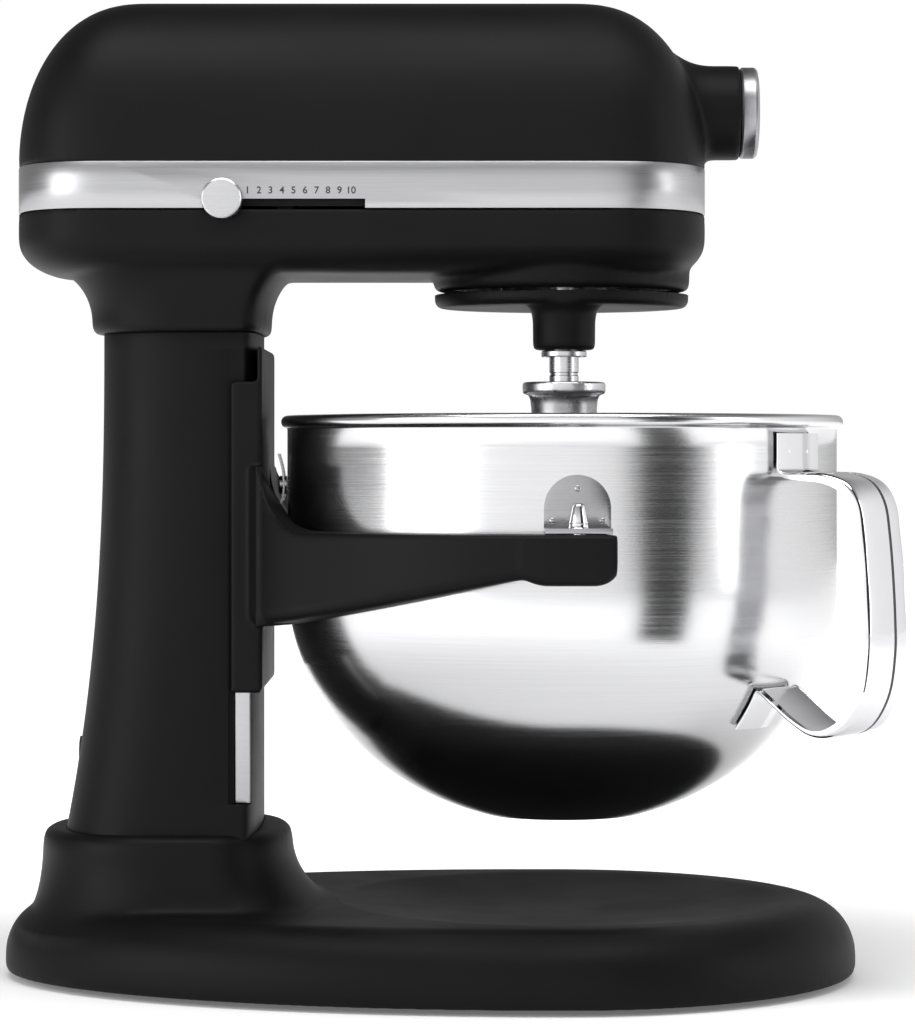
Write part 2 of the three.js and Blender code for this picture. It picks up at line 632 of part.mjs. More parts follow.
function makeMotor() {
  const stator = turnedAlongX(
    sleeveAlong(STATOR_REAR, STATOR_FRONT, STATOR_RADIUS, ARMATURE_RADIUS + 1), 24, 0, MOTOR_Z,
  );
  const coils = [STATOR_REAR - 5, STATOR_FRONT].map((x) => turnedAlongX(
    sleeveAlong(x - 0.1, x + 5.1, STATOR_RADIUS - 4, ARMATURE_RADIUS + 2), 16, 0, MOTOR_Z));
  steel('motor_stator', stator.add(coils[0]).add(coils[1]));
  const core = turnedAlongX(
    sleeveAlong(STATOR_REAR, STATOR_FRONT, ARMATURE_RADIUS, MOTOR_SHAFT_RADIUS + GAP), 20, 0, MOTOR_Z,
  );
  const ends = [STATOR_REAR - 6, STATOR_FRONT].map((x) => turnedAlongX(
    sleeveAlong(x - 0.1, x + 6.1, ARMATURE_RADIUS - 4, MOTOR_SHAFT_RADIUS + GAP), 12, 0, MOTOR_Z));
  copper('armature', core.add(ends[0]).add(ends[1]));
  const rear = STATOR_REAR - 29;
  const pinion = alongX(gearBody(gearOutline(SPUR_MODULE, MOTOR_TEETH, 0.5), 0, 9), shaftEnd - 9, MOTOR_Z);
  steel(
    'motor_shaft',
    turnedAlongX(rodAlong(rear, shaftEnd - 8.9, MOTOR_SHAFT_RADIUS), 16, 0, MOTOR_Z).add(pinion),
  );
  const segments = turnedAlongX(
    sleeveAlong(STATOR_REAR - 20, STATOR_REAR - 8, 10, MOTOR_SHAFT_RADIUS + GAP), 16, 0, MOTOR_Z,
  );
  copper('commutator', segments);
  const blades = [0, 1, 2, 3, 4, 5, 6].map((i) => {
    const blade = new THREE.BoxGeometry(6, 1.6, FAN_RADIUS - 8).translate(0, 0, (FAN_RADIUS + 8) / 2);
    return solid(blade.rotateX((i * 2 * Math.PI) / 7).translate(STATOR_FRONT + 12, 0, MOTOR_Z));
  });
  const hub = turnedAlongX(
    sleeveAlong(STATOR_FRONT + 8, STATOR_FRONT + 16, 9, MOTOR_SHAFT_RADIUS + GAP), 20, 0, MOTOR_Z,
  );
  plastic('cooling_fan', blades.reduce((sum, blade) => sum.add(blade), hub));
  for (const side of [-1, 1]) {
    const [y0, y1] = [side * (10 + GAP), side * 28].sort((a, b) => a - b);
    const holder = block(STATOR_REAR - 18, STATOR_REAR - 10, y0, y1, MOTOR_Z - 4, MOTOR_Z + 4);
    brass(side < 0 ? 'brush_holder_left' : 'brush_holder_right', holder);
  }
  const bearing = (x) => sleeveAlong(x, x + BEARING_WIDE, BEARING_RADIUS, MOTOR_SHAFT_RADIUS + GAP);
  steel('motor_bearing_rear', turnedAlongX(bearing(rear), 16, 0, MOTOR_Z));
  steel('motor_bearing_front', turnedAlongX(bearing(plateX), 16, 0, MOTOR_Z));
  const seat = (x, z, radius) => turnedAlongX(
    rodAlong(x - 2, x + BEARING_WIDE + 2, radius + GAP), 16, 0, z,
  );
  const endPlate = block(rear, rear + BEARING_WIDE, -26, 26, MOTOR_Z - 13, MOTOR_Z + 14);
  castBlack('motor_end_plate', endPlate.subtract(seat(rear, MOTOR_Z, BEARING_RADIUS)));
  const frame = block(plateX, plateX + BEARING_WIDE, -36, 36, MOTOR_Z - 15, IDLER_Z + 16);
  steel(
    'gear_plate',
    frame.subtract(seat(plateX, MOTOR_Z, BEARING_RADIUS)).subtract(seat(plateX, IDLER_Z, 8)),
  );
}

function makeGearTrain() {
  const gear = alongX(gearBody(gearOutline(SPUR_MODULE, IDLER_TEETH), 0, 9), idlerX, IDLER_Z);
  const idlerShaft = 5;
  steel(
    'idler_gear',
    gear.subtract(turnedAlongX(rodAlong(idlerX - 1, idlerX + 10, idlerShaft + GAP), 20, 0, IDLER_Z)),
  );
  const pinionGeometry = gearBody(
    gearOutline(BEVEL_MODULE, PINION_TEETH, 0.5), 0, BEVEL_FACE, bevelTaper(CROWN_RADIUS),
  );
  const pinion = alongX(pinionGeometry, pinionBack + BEVEL_FACE * 0.5, IDLER_Z);
  const shaft = turnedAlongX(rodAlong(plateX, pinionBack + BEVEL_FACE, idlerShaft), 20, 0, IDLER_Z);
  steel('idler_shaft', shaft.add(pinion));
  const bush = turnedAlongX(
    sleeveAlong(plateX, plateX + BEARING_WIDE, 8, idlerShaft + GAP), 20, 0, IDLER_Z,
  );
  brass('idler_bush', bush);
  const crownGear = gearBody(
    gearOutline(BEVEL_MODULE, CROWN_TEETH), 0, BEVEL_FACE, bevelTaper(PINION_GEAR_RADIUS + 8),
  );
  const crown = solid(crownGear.translate(0, 0, CROWN_PLANE - BEVEL_FACE * 0.62));
  steel(
    'crown_gear',
    crown.subtract(turned(rodUp(CROWN_PLANE - 20, CROWN_PLANE + 20, MAIN_SHAFT_RADIUS + GAP), 24)),
  );
  steel('planetary_shaft', turned(rodUp(DISC_HIGH + GAP, CROWN_PLANE + 4, MAIN_SHAFT_RADIUS), 24));
  const hubGearGeometry = gearBody(
    gearOutline(BEVEL_MODULE, HUB_TEETH, 0.5), 0, BEVEL_FACE, bevelTaper(CROWN_RADIUS),
  );
  hubGearGeometry.rotateX(Math.PI);
  const hubGear = alongX(hubGearGeometry, CROWN_RADIUS + BEVEL_FACE * 0.5, HUB_Z);
  steel('hub_gear', hubGear.subtract(turnedAlongX(rodAlong(20, 60, 6 + GAP), 20, 0, HUB_Z)));
  const drive = [[CROWN_RADIUS - 4, 0], [CROWN_RADIUS - 4, 6], [42, 6], [42, 9], [56, 9], [56, 0]];
  const square = block(
    46, 57, -SOCKET_SQUARE / 2, SOCKET_SQUARE / 2, HUB_Z - SOCKET_SQUARE / 2, HUB_Z + SOCKET_SQUARE / 2,
  );
  steel('hub_drive_shaft', turnedAlongX(drive, 24, 0, HUB_Z).subtract(square));
}

// How much smaller a bevel gear is at its thin end, for a mate of the given pitch radius.
function bevelTaper(mate) {
  return 1 - BEVEL_FACE / mate;
}

function makePlanetary() {
  const ring = polygon(Array.from({ length: 28 }, (_, i) => {
    const angle = (i * 2 * Math.PI) / 28;
    const radius = SKIRT_RADIUS - SKIRT_WALL - 0.5;
    return [radius * Math.cos(angle), radius * Math.sin(angle)];
  }));
  ring.holes.push(polygon(gearOutline(RING_MODULE, -RING_TEETH).reverse()));
  steel('ring_gear', slabXY(ring, SKIRT_LOW + 1.4, SKIRT_LOW + 6.6));
  const orbit = (RING_MODULE * (RING_TEETH - PLANET_TEETH)) / 2;
  const disc = [
    [0, DISC_LOW + 1.6], [DISC_RADIUS - 16, DISC_LOW], [DISC_RADIUS - 5, DISC_LOW], [
      DISC_RADIUS, DISC_LOW + 2.5,
    ],
    [DISC_RADIUS, DISC_HIGH - 0.6], [0, DISC_HIGH - 0.6],
  ];
  const boss = [
    [0, BOSS_LOW], [BOSS_RADIUS - 1.5, BOSS_LOW], [BOSS_RADIUS, BOSS_LOW + 1.8],
    [BOSS_RADIUS + 0.4, DISC_LOW - 4], [BOSS_RADIUS + 4, DISC_LOW + 1], [0, DISC_LOW + 4],
  ];
  const bore = turned(rodUp(BOSS_LOW - 1, DISC_HIGH + 1, BEATER_SHAFT_RADIUS + GAP), 24, 0, -orbit);
  castBlack('planetary_head', turned(disc, 36).add(turned(boss, 22, 0, -orbit)).subtract(bore));
  const flange = DISC_HIGH + GAP;
  const planet = solid(
    gearBody(gearOutline(RING_MODULE, PLANET_TEETH), 0, 4.6).translate(0, -orbit, flange + 1.2),
  );
  const shaft = turned(rodUp(BEATER_SHAFT_LOW, flange + 5.6, 4.4), 20, 0, -orbit);
  const thick = turned(rodUp(BEATER_SHAFT_LOW, DISC_HIGH - 1, BEATER_SHAFT_RADIUS), 24, 0, -orbit);
  const pinHole = turnedAlongX(rodAlong(-20, 20, PIN_RADIUS + GAP), 12, -orbit, PIN_Z);
  steel('planet_pinion', planet.subtract(turned(rodUp(flange, flange + 9, 4.4 + GAP), 20, 0, -orbit)));
  brushed('beater_shaft', thick.add(shaft).subtract(pinHole));
  steel(
    'beater_pin',
    turnedAlongX(rodAlong(-PIN_LENGTH / 2, PIN_LENGTH / 2, PIN_RADIUS), 12, -orbit, PIN_Z),
  );
  steel(
    'shaft_washer',
    turned(tube(BOSS_LOW - 2.9, BOSS_LOW - GAP, 9.6, BEATER_SHAFT_RADIUS + GAP), 20, 0, -orbit),
  );
  makeBeater(orbit);
}

function makeBeater(orbit) {
  const neckLow = BEATER_SHAFT_LOW - 8;
  const hub = [
    [0, neckLow], [BEATER_HUB_RADIUS, neckLow], [BEATER_HUB_RADIUS, BEATER_HUB_HIGH - 12],
    [BEATER_HUB_RADIUS + 1, BEATER_HUB_HIGH - 5.4], [BEATER_FLANGE_RADIUS - 0.6, BEATER_HUB_HIGH - 5.2],
    [BEATER_FLANGE_RADIUS, BEATER_HUB_HIGH - 4.4], [BEATER_FLANGE_RADIUS, BEATER_HUB_HIGH - 0.6],
    [BEATER_FLANGE_RADIUS - 0.6, BEATER_HUB_HIGH], [0, BEATER_HUB_HIGH],
  ];
  const blade = new THREE.Shape();
  blade.moveTo(BEATER_HUB_RADIUS, neckLow + 3);
  blade.lineTo(-BEATER_HUB_RADIUS, neckLow + 3);
  blade.quadraticCurveTo(-BEATER_HALF, neckLow, -BEATER_HALF, neckLow - 40);
  blade.bezierCurveTo(-BEATER_HALF, BEATER_LOW + 35, -48, BEATER_LOW + 8, -14, BEATER_LOW);
  blade.lineTo(14, BEATER_LOW);
  blade.bezierCurveTo(48, BEATER_LOW + 8, BEATER_HALF, BEATER_LOW + 35, BEATER_HALF, neckLow - 40);
  blade.quadraticCurveTo(BEATER_HALF, neckLow, BEATER_HUB_RADIUS, neckLow + 3);
  for (const side of [-1, 1]) {
    const upper = new THREE.Path();
    upper.moveTo(side * 7, neckLow - 12);
    upper.quadraticCurveTo(
      side * (BEATER_HALF - 12), neckLow - 14, side * (BEATER_HALF - 10), neckLow - 42,
    );
    upper.lineTo(side * (BEATER_HALF - 12), neckLow - 60);
    upper.lineTo(side * 7, neckLow - 82);
    upper.lineTo(side * 7, neckLow - 12);
    const lower = new THREE.Path();
    lower.moveTo(side * 7, neckLow - 92);
    lower.lineTo(side * (BEATER_HALF - 14), neckLow - 71);
    lower.quadraticCurveTo(side * (BEATER_HALF - 18), BEATER_LOW + 22, side * 7, BEATER_LOW + 10);
    lower.lineTo(side * 7, neckLow - 92);
    blade.holes.push(upper, lower);
  }
  const [y0, y1] = [-orbit - BEATER_THICK / 2, -orbit + BEATER_THICK / 2];
  const socket = turned(
    rodUp(BEATER_SHAFT_LOW - BEATER_PUSH - 1, BEATER_HUB_HIGH + 1, BEATER_SHAFT_RADIUS + GAP), 24, 0,
    -orbit,
  );
  const low = PIN_Z - PIN_RADIUS - GAP - BEATER_PUSH;
  const notch = block(
    -20, 20, -orbit - PIN_RADIUS - GAP, -orbit + PIN_RADIUS + GAP, low, PIN_Z + PIN_RADIUS + GAP,
  );
  // the blade is drawn with x to the right and z up, so it is pushed out along Y
  const beater = slabXZ(blade, y0, y1, 5).add(turned(hub, 22, 0, -orbit)).subtract(socket).subtract(notch);
  brushed('flat_beater', beater);
}

// ---------------------------------------------------------------- bowl
// Height of the bowl's outside at a radius, from an upright elliptical curve cut off by the flat foot.
function bowlRadiusAt(z, radius) {
  if (z >= BOWL_CURVE_TOP) return radius;
  const t = (BOWL_CURVE_TOP - z) / (BOWL_CURVE_TOP - BOWL_LOW + 4);
  return radius * Math.sqrt(1 - t ** 2);
}

const BOWL_STEPS = 6;
const bowlHeights = quarter(BOWL_STEPS)
  .map((angle) => BOWL_LOW + (BOWL_CURVE_TOP - BOWL_LOW) * (1 - Math.sin(angle)))
  .reverse();

function makeBowl() {
  const outside = bowlHeights.map((z) => [bowlRadiusAt(z, BOWL_RADIUS), z]);
  const beadZ = BOWL_TOP - BEAD_RADIUS;
  const bead = [-90, -30, 30, 90, 150].map((degrees) => {
    const angle = THREE.MathUtils.degToRad(degrees);
    return [BOWL_RADIUS + BEAD_RADIUS * Math.cos(angle), beadZ + BEAD_RADIUS * Math.sin(angle)];
  });
  const inner = BOWL_RADIUS - BOWL_WALL;
  const inside = bowlHeights.map((z) => [bowlRadiusAt(z, inner), z + BOWL_WALL]).reverse();
  const profile = [
    [0, BOWL_LOW], ...outside, ...bead, [inner, beadZ - 1], ...inside, [0, BOWL_LOW + BOWL_WALL],
  ];
  brushed('bowl', turned(profile, 36));
  for (const side of [-1, 1]) {
    brushed(side < 0 ? 'bowl_bracket_left' : 'bowl_bracket_right', makeBracket(side));
  }
  const stud = turnedAlongX(rodAlong(-BOWL_RADIUS - 3.8, -BOWL_RADIUS - GAP, STUD_RADIUS), 16, 0, STUD_Z);
  steel('bowl_stud', stud);
  makeHandle();
}

const pinRadiusLow = 4.3;
const pinY = (ARM_INNER + ARM_OUTER) / 2;

function makeBracket(side) {
  const half = BRACKET_WIDE / 2;
  const low = ARM_TOP + GAP;
  const dome = new THREE.Shape();
  dome.moveTo(PIN_PLACE - half, low);
  dome.lineTo(PIN_PLACE + half, low);
  dome.lineTo(PIN_PLACE + half, BRACKET_TOP - half);
  dome.absarc(PIN_PLACE, BRACKET_TOP - half, half, 0, Math.PI, false);
  dome.lineTo(PIN_PLACE - half, low);
  const [y0, y1] = [side * (BOWL_RADIUS - 8), side * (BOWL_RADIUS + 6)].sort((a, b) => a - b);
  const skin = turned(tube(low - 1, BRACKET_TOP + 1, BOWL_RADIUS + 2, BOWL_RADIUS + GAP), 88);
  const [f0, f1] = [
    side * (BOWL_RADIUS - 6), side * (BOWL_RADIUS + BRACKET_DEEP + 3),
  ].sort((a, b) => a - b);
  const flange = block(PIN_PLACE - half, PIN_PLACE + half, f0, f1, low, low + 2.4)
    .subtract(turned(rodUp(low - 1, low + 4, BOWL_RADIUS + GAP), 88));
  const hole = turned(rodUp(low - 1, low + 4, pinRadiusLow + RUN), 20, PIN_PLACE, side * pinY);
  return slabXZ(dome, y0, y1, 12).intersect(skin).add(flange).subtract(hole);
}

// Strap handle: an open loop outline pushed out along Y and turned to its place round the bowl.
function makeHandle() {
  const plateHigh = BOWL_TOP - 7;
  const strapHigh = 217;
  const strapLow = 109;
  const weldLow = 99;
  const wall = BOWL_RADIUS + GAP;
  const outer = new THREE.Shape();
  outer.moveTo(wall, plateHigh);
  outer.lineTo(wall, strapHigh - HANDLE_THICK);
  outer.lineTo(HANDLE_REACH - 16, strapHigh - HANDLE_THICK);
  outer.quadraticCurveTo(HANDLE_REACH - 8, strapHigh - 6, HANDLE_REACH - 7, strapHigh - 22);
  outer.lineTo(HANDLE_REACH - 4, strapLow + 50);
  outer.quadraticCurveTo(HANDLE_REACH - 7, strapLow + 12, HANDLE_REACH - 22, strapLow + 10);
  const weld = bowlRadiusAt(weldLow + 28, BOWL_RADIUS) + 1;
  outer.lineTo(weld + 0.8, weldLow + 29);
  outer.lineTo(bowlRadiusAt(weldLow + 12, BOWL_RADIUS) + GAP + 0.6, weldLow + 12);
  outer.lineTo(bowlRadiusAt(weldLow + 12, BOWL_RADIUS) + GAP + 2.6, weldLow + 11.4);
  outer.lineTo(weld + 2.6, weldLow + 26);
  outer.lineTo(HANDLE_REACH - 24, strapLow + 2);
  outer.quadraticCurveTo(HANDLE_REACH - 4, strapLow - 2, HANDLE_REACH, strapLow + 44);
  outer.lineTo(HANDLE_REACH - 3, strapHigh - 22);
  outer.quadraticCurveTo(HANDLE_REACH - 5, strapHigh, HANDLE_REACH - 18, strapHigh + 1);
  outer.lineTo(wall + HANDLE_THICK, strapHigh + 1);
  outer.lineTo(wall + HANDLE_THICK, plateHigh);
  const strap = slabXZ(outer, -HANDLE_WIDE / 2, HANDLE_WIDE / 2, 6);
  const clear = makeBowlEnvelope();
  const turn = (shape) => shape.rotate([0, 0, THREE.MathUtils.radToDeg(HANDLE_TURN)]);
  polished('bowl_handle', turn(strap.subtract(clear)));
}

// The bowl's outside grown by the clearance, to trim what is welded on it.
function makeBowlEnvelope() {
  const profile = bowlHeights.map((z) => [bowlRadiusAt(z, BOWL_RADIUS) + GAP, z]);
  return turned([[0, BOWL_LOW], ...profile, [BOWL_RADIUS + GAP, BOWL_TOP + 5], [0, BOWL_TOP + 5]], 96);
}

// ---------------------------------------------------------------- bowl carriage and lift
const slideFace = -COLUMN_FRONT + RUN;
const plateFront = slideFace + SLIDE_THICK;

function makeYoke() {
  const reach = Math.asin(PAD_END / ARM_OUTER);
  const [from, to] = [Math.PI / 2 - reach, (3 * Math.PI) / 2 + reach];
  const plan = new THREE.Shape();
  plan.absarc(0, 0, ARM_OUTER, from, to, false);
  plan.absarc(0, 0, ARM_INNER, to, from, true);
  const under = polygon([
    [-COLUMN_FRONT, ARM_ROOT_LOW - 40], [-COLUMN_FRONT, ARM_ROOT_LOW], [-PAD_END, PAD_LOW + 2.5],
    [-PAD_END + 6, PAD_LOW], [PAD_END - 6, PAD_LOW], [PAD_END, PAD_LOW + 6],
    [PAD_END + 2, PAD_LOW + 6], [PAD_END + 2, ARM_ROOT_LOW - 40],
  ]);
  // the arms sweep up into the slide in a hollow curve
  const over = polygon([
    [-COLUMN_FRONT, ARM_TOP + ARM_RISE],
    ...quarter(5).map((angle) => [
      ARM_SWEEP_END - ARM_SWEEP * Math.cos(angle), ARM_TOP + ARM_RISE * (1 - Math.sin(angle)),
    ]),
    [COLUMN_FRONT, ARM_TOP], [COLUMN_FRONT, ARM_TOP + 2 * ARM_RISE], [
      -COLUMN_FRONT, ARM_TOP + 2 * ARM_RISE,
    ],
  ]);
  const reachY = ARM_OUTER + 2;
  const front = block(slideFace, COLUMN_FRONT, -reachY, reachY, ARM_ROOT_LOW - 20, ARM_TOP + ARM_RISE);
  const half = COLUMN_HALF + RUN + CHEEK_THICK;
  const web = block(
    slideFace, plateFront + WEB_DEEP, -half - 12, half + 12, ARM_ROOT_LOW, ARM_TOP + ARM_RISE,
  );
  const arms = slabXY(plan, ARM_ROOT_LOW - 10, ARM_TOP + ARM_RISE, 28)
    .subtract(slabXZ(under, -reachY, reachY))
    .add(web)
    .subtract(slabXZ(over, -reachY, reachY));
  const slide = block(slideFace, plateFront, -half, half, SLIDE_LOW, SLIDE_HIGH);
  let yoke = arms.intersect(front).add(slide);
  yoke = yoke.subtract(turned(rodUp(ARM_ROOT_LOW - 20, SLIDE_HIGH, ARM_INNER), 64));
  // flat bed for the spring clip
  const bed = block(
    plateFront, -ARM_INNER + 20, -LATCH_HALF - RUN, LATCH_HALF + RUN, STUD_Z - 23, STUD_Z + 24,
  );
  yoke = yoke.subtract(bed);
  for (const side of [-1, 1]) {
    const [y0, y1] = [side * (COLUMN_HALF + RUN), side * half].sort((a, b) => a - b);
    yoke = yoke.add(block(slideFace - CHEEK_DEEP, slideFace + 1, y0, y1, SLIDE_LOW, CHEEK_HIGH));
    yoke = yoke.subtract(
      turned(rodUp(ARM_TOP - 8, ARM_TOP + 1, pinRadiusLow - 1 + GAP), 16, PIN_PLACE, side * pinY),
    );
  }
  const tongueSlot = block(
    slideFace - 1, plateFront + 1, TONGUE_Y - 2.5 - GAP, TONGUE_Y + 2.5 + GAP, LIFT_Z + 10, LIFT_Z + 28,
  );
  castBlack('bowl_yoke', yoke.subtract(tongueSlot));
  for (const side of [-1, 1]) {
    const taper = [
      [0, ARM_TOP - 7], [pinRadiusLow - 1, ARM_TOP - 7], [
        pinRadiusLow - 1, ARM_TOP + GAP,
      ], [pinRadiusLow, ARM_TOP + GAP],
      [pinRadiusLow, ARM_TOP + 3], [
        2.4, ARM_TOP + PIN_TALL - 0.6,
      ], [1.8, ARM_TOP + PIN_TALL], [0, ARM_TOP + PIN_TALL],
    ];
    const pin = turned(taper, 14, PIN_PLACE, side * pinY);
    polished(side < 0 ? 'locating_pin_left' : 'locating_pin_right', pin);
  }
  makeLatch();
}

// Spring clip behind the bowl: two bowed legs on either side of the bowl's stud, joined below it.
function makeLatch() {
  const [back, apex] = [plateFront + GAP, -BOWL_RADIUS - 1];
  const leg = polygon([
    [back, STUD_Z - 18], [back + 1, STUD_Z - 18], [apex, STUD_Z - 6], [apex, STUD_Z + 6],
    [apex - 2, STUD_Z + 14], [apex - 3, STUD_Z + 13.6], [apex - 1, STUD_Z + 5.6],
    [apex - 1, STUD_Z - 5.4],
  ]);
  const legs = [-1, 1].map((side) => {
    const y = side * (LATCH_HALF - LATCH_LEG / 2);
    return slabXZ(leg, y - LATCH_LEG / 2, y + LATCH_LEG / 2);
  });
  const foot = block(back, back + 1, -LATCH_HALF, LATCH_HALF, STUD_Z - 22, STUD_Z - 17);
  steel('latch_spring', foot.add(legs[0]).add(legs[1]));
}

function makeLift() {
  const up = Math.PI / 4;
  const pinX = LIFT_X - CRANK_THROW * Math.cos(up);
  const pinZ = LIFT_Z + CRANK_THROW * Math.sin(up);
  const crankIn = TONGUE_Y + 2.5 + RUN;
  const shaft = turnedAlongY(
    [[crankIn, 0], [crankIn, LIFT_SHAFT_RADIUS], [LEVER_Y + 6, LIFT_SHAFT_RADIUS], [LEVER_Y + 6, 0]],
    20, LIFT_X, LIFT_Z,
  );
  const web = new THREE.BoxGeometry(CRANK_THROW, 5, 10)
    .rotateY(up)
    .translate((LIFT_X + pinX) / 2, crankIn + 2.5, (LIFT_Z + pinZ) / 2);
  const cheeks = [[LIFT_X, LIFT_Z, 9], [pinX, pinZ, 5.5]].map(
    ([x, z, radius]) => turnedAlongY(rodAlong(crankIn, crankIn + 5, radius), 20, x, z),
  );
  const pin = turnedAlongY(rodAlong(TONGUE_Y - 2.5, crankIn + 1, CRANK_PIN_RADIUS), 16, pinX, pinZ);
  steel('lift_crank', shaft.add(solid(web)).add(cheeks[0]).add(cheeks[1]).add(pin));
  const slotHalf = CRANK_PIN_RADIUS + 1.2;
  const slotBack = LIFT_X - CRANK_THROW - slotHalf;
  const tongue = block(slotBack - 3, plateFront - 1, TONGUE_Y - 2.5, TONGUE_Y + 2.5, pinZ - 8, pinZ + 8);
  const window = block(
    slotBack, pinX + slotHalf, TONGUE_Y - 4, TONGUE_Y + 4, pinZ - slotHalf, pinZ + slotHalf,
  );
  steel('lift_tongue', tongue.subtract(window));
  const hub = turnedAlongY(
    sleeveAlong(LEVER_Y - 8, LEVER_Y + 6, 13, LIFT_SHAFT_RADIUS + GAP), 28, LIFT_X, LIFT_Z,
  );
  const arm = block(
    LIFT_X - 5, LIFT_X + 5, LEVER_Y - 5, LEVER_Y + 3, LIFT_Z + 11, LIFT_Z + LEVER_LENGTH - 14,
  );
  brushed('lift_lever', hub.add(arm));
  const grip = [
    [0, -2], [7, -2], [9.5, 3], [10.5, 16], [9, 27], [4, 32], [0, 32],
  ].map(([radius, height]) => [radius, LIFT_Z + LEVER_LENGTH - 14 + GAP + 2 + height]);
  plastic('lift_grip', turned(grip, 20, LIFT_X, LEVER_Y - 1));
}

function makeHubFittings() {
  const cap = [
    [HUB_END - CAP_STEM, 0], [HUB_END - CAP_STEM, HUB_BORE - 0.8], [HUB_END + GAP, HUB_BORE - 0.8],
    [HUB_END + GAP, CAP_RADIUS - 0.8], [HUB_END + GAP + 0.8, CAP_RADIUS], [
      HUB_END + CAP_THICK - 1.4, CAP_RADIUS,
    ],
    [HUB_END + CAP_THICK, CAP_RADIUS - 1.6], [HUB_END + CAP_THICK, 0],
  ];
  brushed('hub_cap', turnedAlongX(cap, 28, 0, HUB_Z));
  const screw = [
    [HUB_BORE + 0.6, 0], [HUB_BORE + 0.6, BOLT_RADIUS], [
      HUB_RADIUS + 1.2, BOLT_RADIUS,
    ], [HUB_RADIUS + 1.2, 6],
    [HUB_RADIUS + 4, THUMB_RADIUS], [HUB_RADIUS + 14, THUMB_RADIUS], [
      HUB_RADIUS + 16, THUMB_RADIUS - 2,
    ], [HUB_RADIUS + 16, 0],
  ];
  plastic('hub_thumbscrew', turnedAlongY(screw, 18, THUMB_X, HUB_Z));
}

// ---------------------------------------------------------------- assembly
makeBase();
makeColumn();
makeLowerHousing();
makeUpperHousing();
makeSpeedControl();
makeMotor();
makeGearTrain();
makePlanetary();
makeHubFittings();
makeBowl();
makeYoke();
makeLift();

const mixer = new THREE.Group();
for (const part of parts) mixer.add(part);
const bounds = new THREE.Box3().setFromObject(mixer);
mixer.position.x = -(bounds.min.x + bounds.max.x) / 2;
mixer.updateMatrixWorld(true);
export default mixer;
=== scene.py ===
"""Looks of a bowl-lift stand mixer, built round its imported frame.

Lengths inside the classes are millimetres, measured from the bowl axis (x), the middle plane (y)
and the table (z). Shell.finish turns them into metres in the frame's own place.
"""

import json
import logging
import math
from collections.abc import Callable, Sequence
from dataclasses import dataclass
from enum import Enum

import bmesh
import bpy
from mathutils import Matrix, Vector


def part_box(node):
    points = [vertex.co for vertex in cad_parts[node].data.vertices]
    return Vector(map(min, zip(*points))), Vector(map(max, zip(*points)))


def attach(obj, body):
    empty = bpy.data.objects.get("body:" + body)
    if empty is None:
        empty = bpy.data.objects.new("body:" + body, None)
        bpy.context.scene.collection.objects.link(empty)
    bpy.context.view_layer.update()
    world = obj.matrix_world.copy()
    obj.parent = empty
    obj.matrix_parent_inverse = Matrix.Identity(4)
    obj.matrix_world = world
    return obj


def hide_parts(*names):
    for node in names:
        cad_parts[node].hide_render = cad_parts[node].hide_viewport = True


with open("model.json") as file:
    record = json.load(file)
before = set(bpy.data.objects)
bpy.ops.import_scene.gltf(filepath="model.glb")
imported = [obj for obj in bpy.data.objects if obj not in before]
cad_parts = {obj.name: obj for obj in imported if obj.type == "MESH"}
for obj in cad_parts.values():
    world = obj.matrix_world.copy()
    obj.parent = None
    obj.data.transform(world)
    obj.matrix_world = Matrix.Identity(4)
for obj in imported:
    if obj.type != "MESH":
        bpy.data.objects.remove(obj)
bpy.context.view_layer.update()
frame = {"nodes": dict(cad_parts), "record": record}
LOG = logging.getLogger("mixer")
MM = 0.001

Point = tuple[float, float, float]
Ring = list[Point]


def axis_x() -> float:
    """Returns the bowl axis in metres along X."""
    low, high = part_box("bowl")
    return (low.x + high.x) / 2


AXIS_X = axis_x()


@dataclass(frozen=True)
class Span:
    """The box of a frame node, in millimetres about the bowl axis."""

    low: Vector
    high: Vector

    @staticmethod
    def of(node: str) -> "Span":
        """Reads a node's box.

        Args:
            node: name of the frame node.

        Returns:
            Its span in millimetres.
        """
        low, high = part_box(node)
        shift = Vector((AXIS_X, 0, 0))
        return Span((low - shift) / MM, (high - shift) / MM)


class Grain(Enum):
    """Which way a brushed finish runs."""

    LEVEL = "level"
    TURNED = "turned"


